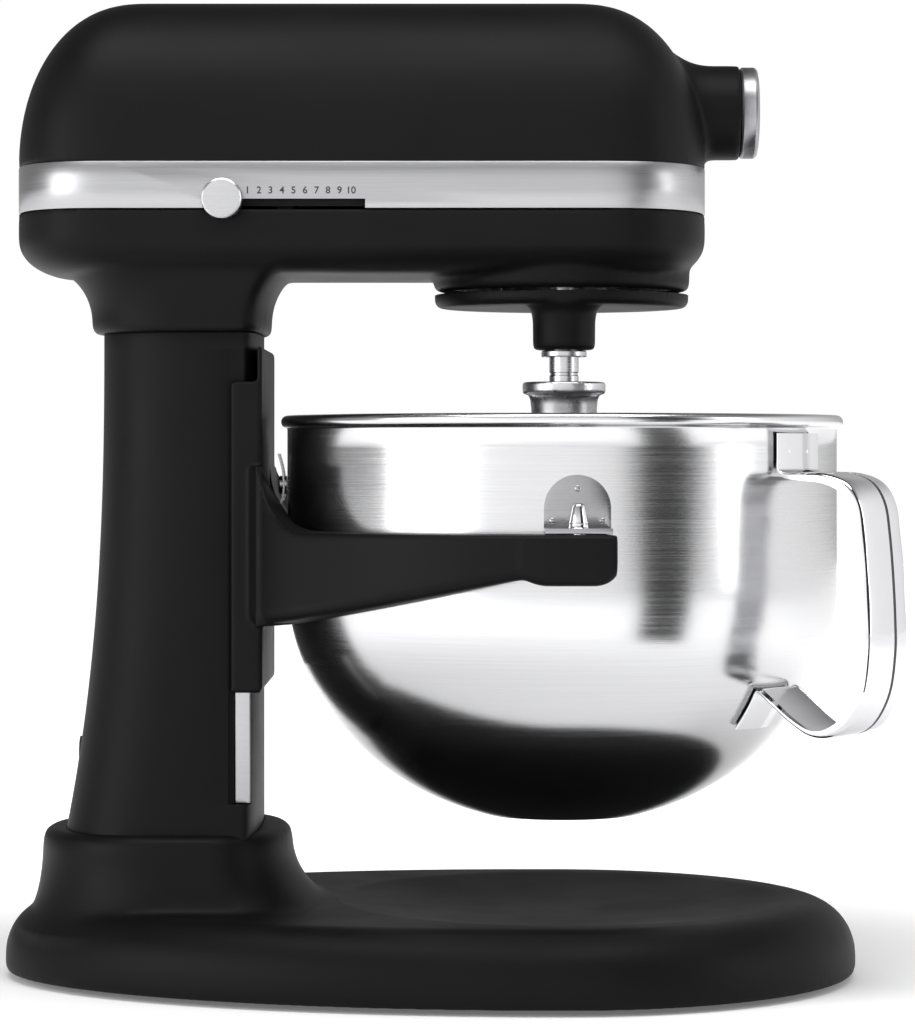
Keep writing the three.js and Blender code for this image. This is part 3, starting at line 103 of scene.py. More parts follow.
# ---------------------------------------------------------------- finishes
class Nodes:
    """A material's node tree with short calls for the nodes that the finishes share."""

    def __init__(self, name: str) -> None:
        """Makes an empty material with one surface shader.

        Args:
            name: name of the material.
        """
        self.material = bpy.data.materials.new(name)
        self.material.use_nodes = True
        self.tree = self.material.node_tree
        self.shader = self.tree.nodes["Principled BSDF"]
        self.place = self.tree.nodes.new("ShaderNodeTexCoord").outputs["Object"]

    def set(self, **values: object) -> None:
        """Sets sockets of the shader; underscores stand for spaces."""
        for key, value in values.items():
            self.shader.inputs[key.replace("_", " ")].default_value = value

    def noise(self, stretch: Point, detail: float = 3.0, rough: float = 0.55) -> bpy.types.NodeSocket:
        """Adds noise on the object's own coordinates.

        Args:
            stretch: cells per metre along each axis.
            detail: octaves of the noise.
            rough: how strong the fine octaves are.

        Returns:
            The noise factor socket.
        """
        mapping = self.tree.nodes.new("ShaderNodeMapping")
        mapping.inputs["Scale"].default_value = stretch
        self.tree.links.new(self.place, mapping.inputs["Vector"])
        texture = self.tree.nodes.new("ShaderNodeTexNoise")
        texture.inputs["Scale"].default_value = 1.0
        texture.inputs["Detail"].default_value = detail
        texture.inputs["Roughness"].default_value = rough
        self.tree.links.new(mapping.outputs["Vector"], texture.inputs["Vector"])
        return texture.outputs["Fac"]

    def spread(self, source: bpy.types.NodeSocket, low: float, high: float) -> bpy.types.NodeSocket:
        """Maps a noise factor to a range.

        Args:
            source: the factor.
            low: value where the factor is 0.3.
            high: value where the factor is 0.7.

        Returns:
            The mapped value socket.
        """
        node = self.tree.nodes.new("ShaderNodeMapRange")
        node.inputs["From Min"].default_value = 0.3
        node.inputs["From Max"].default_value = 0.7
        node.inputs["To Min"].default_value = low
        node.inputs["To Max"].default_value = high
        self.tree.links.new(source, node.inputs["Value"])
        return node.outputs["Result"]

    def colour(self, source: bpy.types.NodeSocket, dark: Point, light: Point) -> None:
        """Blends the base colour between two tones by a factor."""
        ramp = self.tree.nodes.new("ShaderNodeValToRGB")
        ramp.color_ramp.elements[0].position = 0.3
        ramp.color_ramp.elements[1].position = 0.7
        ramp.color_ramp.elements[0].color = (*dark, 1)
        ramp.color_ramp.elements[1].color = (*light, 1)
        self.tree.links.new(source, ramp.inputs["Fac"])
        self.tree.links.new(ramp.outputs["Color"], self.shader.inputs["Base Color"])

    def roughness(self, source: bpy.types.NodeSocket) -> None:
        """Feeds the shader's roughness."""
        self.tree.links.new(source, self.shader.inputs["Roughness"])

    def bump(self, source: bpy.types.NodeSocket, height: float, strength: float = 0.5) -> None:
        """Adds relief.

        Args:
            source: the height factor.
            height: depth of the relief in metres.
            strength: share of the relief used.
        """
        node = self.tree.nodes.new("ShaderNodeBump")
        node.inputs["Distance"].default_value = height
        node.inputs["Strength"].default_value = strength
        self.tree.links.new(source, node.inputs["Height"])
        self.tree.links.new(node.outputs["Normal"], self.shader.inputs["Normal"])


@dataclass(frozen=True)
class SatinPaint:
    """Black powder paint on a casting: soft sheen with a very fine orange-peel texture."""

    name: str = "satin_black_paint"
    tone: Point = (0.0034, 0.0034, 0.0036)
    sheen_rough: tuple[float, float] = (0.46, 0.54)
    gloss: float = 0.11

    def build(self) -> bpy.types.Material:
        """Returns the finished material."""
        nodes = Nodes(self.name)
        fine = nodes.noise((1500, 1500, 1500), 2.0)
        broad = nodes.noise((24, 24, 24), 3.0)
        nodes.colour(broad, tuple(t * 0.85 for t in self.tone), tuple(t * 1.2 for t in self.tone))
        nodes.roughness(nodes.spread(broad, *self.sheen_rough))
        nodes.bump(fine, 0.00006, 0.35)
        nodes.set(Specular_IOR_Level=self.gloss)
        return nodes.material


@dataclass(frozen=True)
class BrushedMetal:
    """Metal brushed one way: fine streaks in tone, gloss and relief."""

    name: str
    tone: Point
    rough: tuple[float, float]
    grain: Grain = Grain.LEVEL
    contrast: float = 0.06
    relief: float = 0.00002
    stretch: float = 0.5

    def build(self) -> bpy.types.Material:
        """Returns the finished material."""
        nodes = Nodes(self.name)
        along, across = 14.0, 2600.0
        scale = (along, along, across)
        streaks = nodes.noise(scale, 4.0, 0.7)
        lighter = tuple(min(1.0, t * (1 + self.contrast)) for t in self.tone)
        nodes.colour(streaks, tuple(t * (1 - self.contrast) for t in self.tone), lighter)
        nodes.roughness(nodes.spread(streaks, *self.rough))
        nodes.bump(streaks, self.relief, 0.6)
        nodes.set(Metallic=1.0, Anisotropic=self.stretch)
        if self.grain is Grain.TURNED:
            tangent = nodes.tree.nodes.new("ShaderNodeTangent")
            tangent.direction_type = "RADIAL"
            tangent.axis = "Z"
            nodes.tree.links.new(tangent.outputs["Tangent"], nodes.shader.inputs["Tangent"])
        return nodes.material


@dataclass(frozen=True)
class PlainMetal:
    """Polished, cast or machined metal with faint unevenness."""

    name: str
    tone: Point
    rough: tuple[float, float]
    cells: float = 60.0
    relief: float = 0.0

    def build(self) -> bpy.types.Material:
        """Returns the finished material."""
        nodes = Nodes(self.name)
        patches = nodes.noise((self.cells,) * 3, 4.0)
        nodes.colour(patches, tuple(t * 0.94 for t in self.tone), self.tone)
        nodes.roughness(nodes.spread(patches, *self.rough))
        if self.relief:
            nodes.bump(nodes.noise((700,) * 3, 3.0), self.relief, 0.5)
        nodes.set(Metallic=1.0)
        return nodes.material


@dataclass(frozen=True)
class Moulded:
    """Moulded rubber or plastic with a fine grain."""

    name: str
    tone: Point
    rough: tuple[float, float]
    relief: float = 0.00008

    def build(self) -> bpy.types.Material:
        """Returns the finished material."""
        nodes = Nodes(self.name)
        grain = nodes.noise((900,) * 3, 3.0)
        nodes.colour(grain, tuple(t * 0.85 for t in self.tone), tuple(t * 1.15 for t in self.tone))
        nodes.roughness(nodes.spread(grain, *self.rough))
        nodes.bump(grain, self.relief, 0.4)
        return nodes.material


class Finishes:
    """Every finish of the mixer, made once, by the record's slot."""

    def __init__(self) -> None:
        """Builds the materials."""
        steel = (0.62, 0.62, 0.63)
        self.by_slot: dict[str, bpy.types.Material] = {
            "cast_paint": SatinPaint().build(),
            "frame_paint": Moulded("dark_frame_paint", (0.03, 0.03, 0.03), (0.5, 0.62)).build(),
            "band_metal": BrushedMetal("brushed_aluminium", (0.4, 0.4, 0.41), (0.26, 0.38)).build(),
            "stainless": BrushedMetal("brushed_stainless", steel, (0.14, 0.22), Grain.TURNED, 0.05).build(),
            "polished_steel": PlainMetal("polished_steel", (0.74, 0.74, 0.76), (0.04, 0.09), 30).build(),
            "beater_metal": PlainMetal(
                "burnished_cast_metal", (0.58, 0.58, 0.6), (0.24, 0.36), 180, 0.00008,
            ).build(),
            "machined_steel": BrushedMetal(
                "machined_steel", (0.5, 0.5, 0.52), (0.2, 0.32), Grain.TURNED, 0.08,
            ).build(),
            "brass": PlainMetal("bearing_brass", (0.69, 0.5, 0.26), (0.25, 0.4), 90).build(),
            "copper": PlainMetal("copper_windings", (0.6, 0.3, 0.18), (0.3, 0.45), 200, 0.0001).build(),
            "rubber": Moulded("black_rubber", (0.018, 0.018, 0.018), (0.7, 0.85)).build(),
            "plastic": Moulded("black_plastic", (0.014, 0.014, 0.015), (0.42, 0.55)).build(),
        }
        self.bracket = BrushedMetal(
            "bracket_stainless", (0.32, 0.32, 0.33), (0.2, 0.3), Grain.LEVEL, 0.05,
        ).build()
        self.knob = BrushedMetal("knob_aluminium", (0.5, 0.5, 0.51), (0.22, 0.32), Grain.LEVEL, 0.04).build()
        # Near-black copy for the gear plate: painted shade, so the head's inside seen through the speed slot
        # reads dark.
        self.painted_slot_shade = Moulded("gear_plate_painted_shade", (0.012, 0.012, 0.012), (0.45, 0.55)).build()
        self.cap = BrushedMetal("cap_aluminium", (0.34, 0.34, 0.35), (0.32, 0.42), Grain.LEVEL, 0.05).build()

    def dress_frame(self) -> None:
        """Gives every frame node the finish of its slot, and the gear plate a near-black painted shade."""
        for entry in frame["record"]["subparts"]:
            node = frame["nodes"][entry["node"]]
            node.data.materials.clear()
            node.data.materials.append(self.by_slot[entry["material_slot"]])
        # The gear plate behind the speed slot gets painted shade instead of its slot's finish.
        frame["nodes"]["gear_plate"].data.materials[0] = self.painted_slot_shade


# ---------------------------------------------------------------- mesh work
@dataclass
class Plan:
    """A closed plan outline with two rounded ends."""

    rear: float
    front: float
    half: float
    rear_end: float
    front_end: float
    bluntness: float = 2.6
    count: int = 128

    def ring(self, z: float, inset: float = 0.0) -> Ring:
        """Points of the outline at a height, pulled in by inset.

        Args:
            z: height of the ring.
            inset: distance that the outline is pulled in.

        Returns:
            The ring's points.
        """
        half = self.half - inset
        shrink = half / self.half
        power = 2 / self.bluntness
        ring = []
        for i in range(self.count):
            angle = math.tau * (i + 0.5) / self.count
            c, s = math.cos(angle), math.sin(angle)
            end = (self.front_end if c > 0 else self.rear_end) * shrink
            centre = self.front - inset - end if c > 0 else self.rear + inset + end
            x = centre + end * math.copysign(abs(c) ** power, c)
            ring.append((x, half * math.copysign(abs(s) ** power, s), z))
        return ring


def quarter(steps: int) -> list[float]:
    """Angles from 0 to a right angle in even steps."""
    return [math.pi / 2 * i / steps for i in range(steps + 1)]


def applied(thing: bpy.types.Object) -> None:
    """Bakes an object's modifiers into its mesh."""
    graph = bpy.context.evaluated_depsgraph_get()
    mesh = bpy.data.meshes.new_from_object(thing.evaluated_get(graph))
    old = thing.data
    thing.modifiers.clear()
    thing.data = mesh
    bpy.data.meshes.remove(old)


class Shell:
    """A mesh in the making, in millimetres about the bowl axis."""

    def __init__(self) -> None:
        """Starts with nothing."""
        self.bm = bmesh.new()

    def loft(self, rings: Sequence[Ring], looped: bool = False) -> None:
        """Skins a stack of rings that have the same count of points.

        Args:
            rings: the rings in order.
            looped: whether the last ring joins the first; if not, both ends are closed with a face.
        """
        made = bmesh.ops.create_circle(self.bm, cap_ends=False, radius=1, segments=len(rings[0]))
        verts = made["verts"]
        for vert, point in zip(verts, rings[0]):
            vert.co = point
        order = {vert: i for i, vert in enumerate(verts)}
        edges = list({edge for vert in verts for edge in vert.link_edges})
        first = edges
        for ring in rings[1:]:
            grown = bmesh.ops.extrude_edge_only(self.bm, edges=edges)["geom"]
            fresh = [item for item in grown if isinstance(item, bmesh.types.BMVert)]
            edges = [item for item in grown if isinstance(item, bmesh.types.BMEdge)]
            following: dict[bmesh.types.BMVert, int] = {}
            for vert in fresh:
                back = next(e.other_vert(vert) for e in vert.link_edges if e.other_vert(vert) in order)
                following[vert] = order[back]
                vert.co = ring[order[back]]
            order = following
        if looped:
            bmesh.ops.bridge_loops(self.bm, edges=first + edges)
            return
        for loop in (first, edges):
            bmesh.ops.contextual_create(self.bm, geom=loop)

    def turn(
        self, profile: Sequence[tuple[float, float]], steps: int = 96, at: Point = (0, 0, 0),
        axis: str = "Z",
    ) -> None:
        """Turns a profile about an axis.

        Args:
            profile: pairs of radius and place along the axis.
            steps: faces round the axis.
            at: a point on the axis.
            axis: X, Y, -Y or Z.
        """
        here = bmesh.new()
        verts = [here.verts.new((radius, 0, along)) for radius, along in profile]
        edges = [here.edges.new(pair) for pair in zip(verts, verts[1:])]
        bmesh.ops.spin(
            here, geom=verts + edges, cent=(0, 0, 0), axis=(0, 0, 1), dvec=(0, 0, 0), angle=math.tau,
            steps=steps, use_merge=True, use_normal_flip=False, use_duplicate=False,
        )
        bmesh.ops.remove_doubles(here, verts=here.verts, dist=1e-4)
        right = math.pi / 2
        turns = {
            "X": Matrix.Rotation(right, 4, "Y"),
            "Y": Matrix.Rotation(-right, 4, "X"),
            "-Y": Matrix.Rotation(right, 4, "X"),
            "Z": Matrix(),
        }
        bmesh.ops.transform(here, matrix=Matrix.Translation(at) @ turns[axis], verts=here.verts)
        self.take(here)

    def block(self, low: Point, high: Point, round_by: float = 0.0, segments: int = 3) -> None:
        """Adds a box with rounded edges.

        Args:
            low: lowest corner.
            high: highest corner.
            round_by: radius of the edges.
            segments: faces round each edge.
        """
        here = bmesh.new()
        bmesh.ops.create_cube(here, size=1)
        size = Vector(high) - Vector(low)
        middle = (Vector(high) + Vector(low)) / 2
        bmesh.ops.transform(
            here, matrix=Matrix.Translation(middle) @ Matrix.Diagonal((*size, 1)), verts=here.verts,
        )
        if round_by:
            bmesh.ops.bevel(
                here, geom=here.edges[:], offset=round_by, segments=segments, affect="EDGES", profile=0.5,
                material=-1,
            )
        self.take(here)

    def take(self, other: bmesh.types.BMesh) -> None:
        """Copies another mesh in, and frees it."""
        passing = bpy.data.meshes.new("passing")
        other.to_mesh(passing)
        other.free()
        self.bm.from_mesh(passing)
        bpy.data.meshes.remove(passing)

    def body(self, name: str) -> bpy.types.Object:
        """Makes a plain object of the mesh, still in millimetres."""
        bmesh.ops.recalc_face_normals(self.bm, faces=self.bm.faces)
        mesh = bpy.data.meshes.new(name)
        self.bm.to_mesh(mesh)
        self.bm.free()
        thing = bpy.data.objects.new(name, mesh)
        bpy.context.scene.collection.objects.link(thing)
        return thing

    def fused(self, voxel: float, passes: int, keep: Callable[[Vector], bool] | None = None) -> "Shell":
        """Melts overlapping closed shells into one skin with cast fillets.

        Args:
            voxel: size of the fusing grid.
            passes: smoothing passes.
            keep: a test on a point that says it isn't smoothed.

        Returns:
            The fused shell.
        """
        thing = self.body("fusing")
        modifier = thing.modifiers.new("fuse", "REMESH")
        modifier.mode = "VOXEL"
        modifier.voxel_size = voxel
        modifier.adaptivity = 0.0
        applied(thing)
        result = Shell()
        result.bm.from_mesh(thing.data)
        bpy.data.objects.remove(thing)
        loose = [v for v in result.bm.verts if keep is None or not keep(v.co)]
        for _ in range(passes):
            bmesh.ops.smooth_vert(
                result.bm, verts=loose, factor=0.5, use_axis_x=True, use_axis_y=True, use_axis_z=True
            )
        return result

    def cut(self, cutter: "Shell", how: str = "DIFFERENCE") -> "Shell":
        """Takes a closed shell away from this one, or keeps what they share.

        Args:
            cutter: the other shell.
            how: DIFFERENCE or INTERSECT.

        Returns:
            What is left.
        """
        thing, tool = self.body("kept"), cutter.body("tool")
        modifier = thing.modifiers.new("cut", "BOOLEAN")
        modifier.operation = how
        modifier.solver = "EXACT"
        modifier.object = tool
        applied(thing)
        result = Shell()
        result.bm.from_mesh(thing.data)
        bpy.data.objects.remove(thing)
        bpy.data.objects.remove(tool)
        return result

    def soften(self, radius: float, sharper_than: float = 40.0, segments: int = 3) -> None:
        """Bevels every edge sharper than an angle.

        Args:
            radius: width of the bevel.
            sharper_than: angle in degrees.
            segments: faces across the bevel.
        """
        limit = math.radians(sharper_than)
        sharp = [e for e in self.bm.edges if len(e.link_faces) == 2 and e.calc_face_angle(0) > limit]
        bmesh.ops.bevel(
            self.bm, geom=sharp, offset=radius, segments=segments, affect="EDGES", profile=0.5, material=-1,
            clamp_overlap=True,
        )

    def finish(
        self, name: str, body: str, slot: str, material: bpy.types.Material,
        stands_for: Sequence[str] = (), crease: float = 35.0,
    ) -> bpy.types.Object:
        """Makes the finished piece in metres, in its place in the frame.

        Args:
            name: name of the piece.
            body: body that it rides on.
            slot: the record's material slot; not used.
            material: its finish.
            stands_for: frame nodes that it replaces.
            crease: angle above which an edge stays sharp.

        Returns:
            The piece.
        """
        bmesh.ops.scale(self.bm, vec=(MM, MM, MM), verts=self.bm.verts)
        bmesh.ops.translate(self.bm, vec=(AXIS_X, 0, 0), verts=self.bm.verts)
        bmesh.ops.recalc_face_normals(self.bm, faces=self.bm.faces)
        limit = math.radians(crease)
        for face in self.bm.faces:
            face.smooth = True
        for edge in self.bm.edges:
            edge.smooth = len(edge.link_faces) == 2 and edge.calc_face_angle(0) < limit
        mesh = bpy.data.meshes.new(name)
        self.bm.to_mesh(mesh)
        self.bm.free()
        piece = bpy.data.objects.new(name, mesh)
        bpy.context.scene.collection.objects.link(piece)
        piece.data.materials.append(material)
        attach(piece, body)
        if stands_for:
            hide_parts(*stands_for)
        LOG.info("%s: %d faces", name, len(mesh.polygons))
        return piece


def box_shell(low: Point, high: Point) -> Shell:
    """Returns a shell that is one sharp box."""
    shell = Shell()
    shell.block(low, high)
    return shell


def turned_shell(
    profile: Sequence[tuple[float, float]], steps: int = 64, at: Point = (0, 0, 0), axis: str = "Z",
) -> Shell:
    """Returns a shell that is one turned solid."""
    shell = Shell()
    shell.turn(profile, steps, at, axis)
    return shell


def rod(low: float, high: float, radius: float) -> list[tuple[float, float]]:
    """Returns the profile of a plain round bar."""
    return [(0, low), (radius, low), (radius, high), (0, high)]


def prism(outline: Sequence[tuple[float, float]], y0: float, y1: float) -> Shell:
    """Pushes an outline in the XZ plane out along Y.

    Args:
        outline: pairs of x and z.
        y0: first face.
        y1: last face.

    Returns:
        The closed shell.
    """
    shell = Shell()
    shell.loft([[(x, y, z) for x, z in outline] for y in (y0, y1)])
    return shell


def arc(
    centre: tuple[float, float], radius: float, start: float, end: float, steps: int,
) -> list[tuple[float, float]]:
    """Returns points of an arc, with its angles in degrees."""
    angles = [math.radians(start + (end - start) * i / steps) for i in range(steps + 1)]
    return [(centre[0] + radius * math.cos(a), centre[1] + radius * math.sin(a)) for a in angles]


def smooth_path(points: Sequence[Sequence[float]], steps: int) -> list[list[float]]:
    """Runs a smooth curve through points of any dimension.

    Args:
        points: the points.
        steps: new points per span.

    Returns:
        The finer points.
    """
    made: list[list[float]] = []
    for i in range(len(points) - 1):
        four = [points[max(0, i - 1)], points[i], points[i + 1], points[min(len(points) - 1, i + 2)]]
        for j in range(steps):
            t = j / steps
            weights = (
                (-t + 2 * t**2 - t**3) / 2,
                (2 - 5 * t**2 + 3 * t**3) / 2,
                (t + 4 * t**2 - 3 * t**3) / 2,
                (t**3 - t**2) / 2,
            )
            made.append([sum(w * p[k] for w, p in zip(weights, four)) for k in range(len(points[0]))])
    made.append(list(points[-1]))
    return made


# ---------------------------------------------------------------- castings
@dataclass
class Base:
    """The slab with its dish, and the foot that holds the column."""

    reach: float = 127.0
    rear: float = 241.0
    under: float = 2.5
    edge: float = 10.0
    top: float = 33.0
    rounding: float = 22.0
    dish_radius: float = 97.0
    dish_depth: float = 7.0
    socket_top: float = 65.0
    voxel: float = 1.5

    def socket(self, grow: float) -> Plan:
        """Returns the plan of the foot, flared by grow."""
        return Plan(-224.5 - grow * 0.5, -117 + grow * 1.9, 58 + grow, 56 + grow * 1.8, 34, 2.3)

    def build(self, finishes: Finishes) -> None:
        """Builds the casting with the foot that holds the column."""
        plan = Plan(-self.rear, self.reach, self.reach, self.rear, self.reach, 2.0, 192)
        shell = Shell()
        slab = [plan.ring(self.under, 1.5), plan.ring(self.under + 1.5, 0)]
        for angle in quarter(12):
            z = self.edge + (self.top - self.edge) * math.sin(angle)
            slab.append(plan.ring(z, self.rounding * (1 - math.cos(angle))))
        shell.loft(slab)
        foot = [self.socket(22).ring(self.edge)]
        for angle in quarter(12):
            z = self.socket_top - 6 - (self.socket_top - 30) * math.cos(angle)
            foot.append(self.socket(22 * (1 - math.sin(angle))).ring(z))
        foot += [self.socket(0).ring(self.socket_top - 2, 1), self.socket(0).ring(self.socket_top, 4)]
        shell.loft(foot)
        skin = shell.fused(self.voxel, 5, lambda p: p.z < self.under + 1)
        skin = skin.cut(self.dish())
        skin = skin.cut(self.hollow(plan))
        seat = Shell()
        seat.loft([Column().ring(z, -0.3) for z in (self.socket_top - 9, self.socket_top + 1)])
        skin.cut(seat).finish(
            "base_casting", "root", "cast_paint", finishes.by_slot["cast_paint"], ["base"], 50,
        )

    def dish(self) -> Shell:
        """Returns the shallow dish under the bowl, as a cutter with a soft lip."""
        sphere = (self.dish_radius**2 + self.dish_depth**2) / (2 * self.dish_depth)
        profile = []
        for i in range(25):
            r = self.dish_radius * i / 24
            profile.append((r, self.top - self.dish_depth + sphere - math.sqrt(sphere**2 - r**2)))
        profile += [
            (self.dish_radius + 4, self.top + 0.6), (self.dish_radius + 4, self.top + 5), (0, self.top + 5),
        ]
        return turned_shell(profile, 128)

    def hollow(self, plan: Plan) -> Shell:
        """Returns the hollow under the slab, as a cutter."""
        shell = Shell()
        shell.loft([plan.ring(-1, 7), plan.ring(17, 13)])
        return shell


@dataclass
class Column:
    """The upright casting with its guide rails, and the hole at the back for the cord bush."""

    rear: float = 198.0
    front: float = 130.0
    half: float = 47.0
    spread: float = 16.0
    widen: float = 4.0
    low: float = 56.3
    high: float = 276.7
    taper_top: float = 277.0
    taper_long: float = 212.0
    corner_long: float = 6.0
    rail_x: tuple[float, float] = (-139.0, -132.6)
    rail_z: tuple[float, float] = (78.0, 254.0)

    def ring(self, z: float, inset: float = 0.0) -> Ring:
        """Returns the outline at a height; it stands wider and further back towards the foot."""
        down = max(0.0, (self.taper_top - z) / self.taper_long)
        rear = -(self.rear + self.spread * down**2.6)
        return Plan(
            rear, -self.front, self.half + self.widen * down**2, 42, self.corner_long, 2.6, 192,
        ).ring(z, inset)

    def build(self, finishes: Finishes) -> None:
        """Builds the casting with its rail beds, side flats and slots."""
        shell = Shell()
        shell.loft([self.ring(self.low + (self.high - self.low) * i / 32) for i in range(33)])
        rail_low, rail_high = self.rail_z
        x0, x1 = self.rail_x
        for side in (-1, 1):
            inner, outer = sorted((side * (self.half - 2.5), side * (self.half + 20)))
            shell = shell.cut(
                box_shell((x0 - 0.3, inner, rail_low - 0.3), (x1 + 0.3, outer, rail_high + 0.3))
            )
            inner, outer = sorted((side * self.half, side * (self.half + 20)))
            shell = shell.cut(box_shell((x0 - 2.6, inner, rail_low), (-self.front + 1, outer, 277)))
        shell = shell.cut(box_shell((-150, 5, 138), (-self.front + 1, 13, 206)))
        shell = shell.cut(turned_shell(rod(35, 59, 6.3), 48, (-157, 0, 172), "Y"))
        shell = shell.cut(turned_shell(rod(-218, -186, 7.3), 48, (0, 0, 96), "X"))
        shell.soften(0.5, 60, 2)
        shell.finish("column_casting", "root", "cast_paint", finishes.by_slot["cast_paint"], ["column"], 40)
        for side, node in ((-1, "guide_rail_left"), (1, "guide_rail_right")):
            span = Span.of(node)
            rail = Shell()
            rail.block(tuple(span.low), tuple(span.high), 0.5)
            name = f"{node}_bar"
            rail.finish(name, "root", "band_metal", finishes.by_slot["band_metal"], [node], 50)


HEAD = Plan(-234.2, 61.7, 62.8, 46, 52, 2.7, 192)


@dataclass
class Head:
    """The head's castings, its band and the row of speed numbers."""

    top: float = 419.3
    band_low: float = 328.0
    band_high: float = 347.8
    belly: float = 301.8
    neck_low: float = 277.0
    crown_round: float = 50.0
    wall: float = 4.0
    band_thick: float = 1.6
    skirt_radius: float = 55.5
    skirt_low: float = 295.6
    hub_z: float = 373.5
    hub_radius: float = 20.5
    hub_end: float = 77.0
    knob_x: float = -143.3
    travel: float = 56.0
    power: float = 2 / 2.1

    def build(self, finishes: Finishes) -> None:
        """Builds the castings, the band and the numbers."""
        paint = finishes.by_slot["cast_paint"]
        self.lower().finish("lower_head_casting", "root", "cast_paint", paint, ["lower_housing"], 50)
        self.upper().finish("upper_head_casting", "root", "cast_paint", paint, ["upper_housing"], 50)
        self.band().finish(
            "head_band", "root", "band_metal", finishes.by_slot["band_metal"], ["trim_band"], 50,
        )
        self.numbers(finishes.by_slot["plastic"])

    def crown(self, inset: float, low: float, high: float, rounding: float, steps: int) -> list[Ring]:
        """Returns the rings of the rounded top.

        Args:
            inset: how far inside the outline the crown starts.
            low: height where it starts.
            high: its top.
            rounding: plan width of the round.
            steps: count of rings.

        Returns:
            The rings.
        """
        rings = []
        for angle in quarter(steps):
            pull = rounding * (1 - max(0.0, math.cos(angle)) ** self.power)
            rings.append(HEAD.ring(low + (high - low) * math.sin(angle) ** self.power, inset + pull))
        return rings

    def slot(self, depth: float) -> Shell:
        """Returns the cutter of the speed slot on the band's lower edge."""
        low = (self.knob_x - 3.6, -HEAD.half - 3, self.band_low - 2)
        return box_shell(low, (self.knob_x + self.travel + 3.6, -HEAD.half + depth, 332))

    def neck(self, grow: float) -> Plan:
        """Returns the plan of the neck, flared by grow."""
        return Plan(-203 - grow, -126.5 + grow * 0.8, 50.5 + grow * 0.35, 43, 10, 2.6, 192)

    def lower(self) -> Shell:
        """Returns the lower casting: belly, neck and the collar round the planetary."""
        shell = Shell()
        rings = [HEAD.ring(self.belly, 20)]
        for angle in quarter(10):
            rings.append(HEAD.ring(self.belly + 15 * (1 - math.cos(angle)), 20 * (1 - math.sin(angle))))
        shell.loft([*rings[1:], HEAD.ring(self.band_low - 0.3, 0)])
        rings = [self.neck(0).ring(self.neck_low, 1.5), self.neck(0).ring(self.neck_low + 2, 0)]
        for angle in quarter(10):
            z = self.neck_low + 5 + (self.belly - self.neck_low - 1) * math.sin(angle)
            rings.append(self.neck(22 * (1 - math.cos(angle))).ring(z))
        shell.loft(rings)
        edge = arc((self.skirt_radius - 3, self.skirt_low + 3), 3, -90, 0, 6)
        shell.turn(
            [
                (0, self.skirt_low), *edge, (self.skirt_radius, self.skirt_low + 10),
                (self.skirt_radius - 3, 316), (0, 316),
            ],
            128,
        )
        skin = shell.fused(1.4, 5, lambda p: p.z > self.band_low - 1.6)
        hollow = Shell()
        hollow.loft(
            [
                HEAD.ring(self.belly + 5, 18), HEAD.ring(self.belly + 14, 5),
                HEAD.ring(self.band_low + 1, self.wall),
            ]
        )
        skin = skin.cut(hollow)
        throat = Shell()
        throat.loft([self.neck(0).ring(self.neck_low - 1, 8), self.neck(0).ring(self.belly + 8, 8)])
        skin = skin.cut(throat)
        skin = skin.cut(
            turned_shell(rod(self.skirt_low - 1, self.skirt_low + 7, self.skirt_radius - 4.5), 96)
        )
        return skin.cut(turned_shell(rod(self.skirt_low, 340, 10.3), 48))

    def upper(self) -> Shell:
        """Returns the upper casting: crown and hub boss, with the recess behind the band."""
        shell = Shell()
        step = self.band_thick + 0.3
        shell.loft([HEAD.ring(self.band_low, step), HEAD.ring(self.band_high + 4, step)])
        crown = self.crown(0, self.band_high + 0.3, self.top, self.crown_round, 20)
        shell.loft(crown)
        boss = [(0, 30), (34, 30), *smooth_path([(33, 40), (26.5, 48), (22, 56), (20.5, 63)], 5)]
        boss += [
            (self.hub_radius, self.hub_end - 0.8), (self.hub_radius - 0.8, self.hub_end), (0, self.hub_end),
        ]
        hub = turned_shell(boss, 96, (0, 0, self.hub_z), "X")
        hub = hub.cut(box_shell((20, -60, 300), (100, 60, self.band_high + 0.3)))
        shell.take(hub.bm)
        skin = shell.fused(1.5, 5, lambda p: p.z < self.band_high + 2.2 or p.x > self.hub_end - 2.2)
        inner = Shell()
        lip = self.wall + step
        inner.loft(
            [
                HEAD.ring(self.band_low - 2, lip),
                *self.crown(lip, self.band_high, self.top - self.wall, self.crown_round - 2, 8),
            ]
        )
        skin = skin.cut(inner)
        skin = skin.cut(turned_shell(rod(54, self.hub_end + 2, 15.5), 64, (0, 0, self.hub_z), "X"))
        skin = skin.cut(turned_shell(rod(0, self.hub_radius + 8, 3.3), 32, (67, 0, self.hub_z), "Y"))
        return skin.cut(self.slot(self.wall + self.band_thick + 3))

    def band(self) -> Shell:
        """Returns the metal band round the head, with eased edges."""
        ease = 0.3
        rings = [
            HEAD.ring(self.band_low, ease), HEAD.ring(self.band_low + ease, 0),
            HEAD.ring(self.band_high - ease, 0),
            HEAD.ring(self.band_high, ease), HEAD.ring(self.band_high, self.band_thick),
            HEAD.ring(self.band_low, self.band_thick),
        ]
        shell = Shell()
        shell.loft(rings, looped=True)
        return shell.cut(self.slot(self.band_thick + 3))

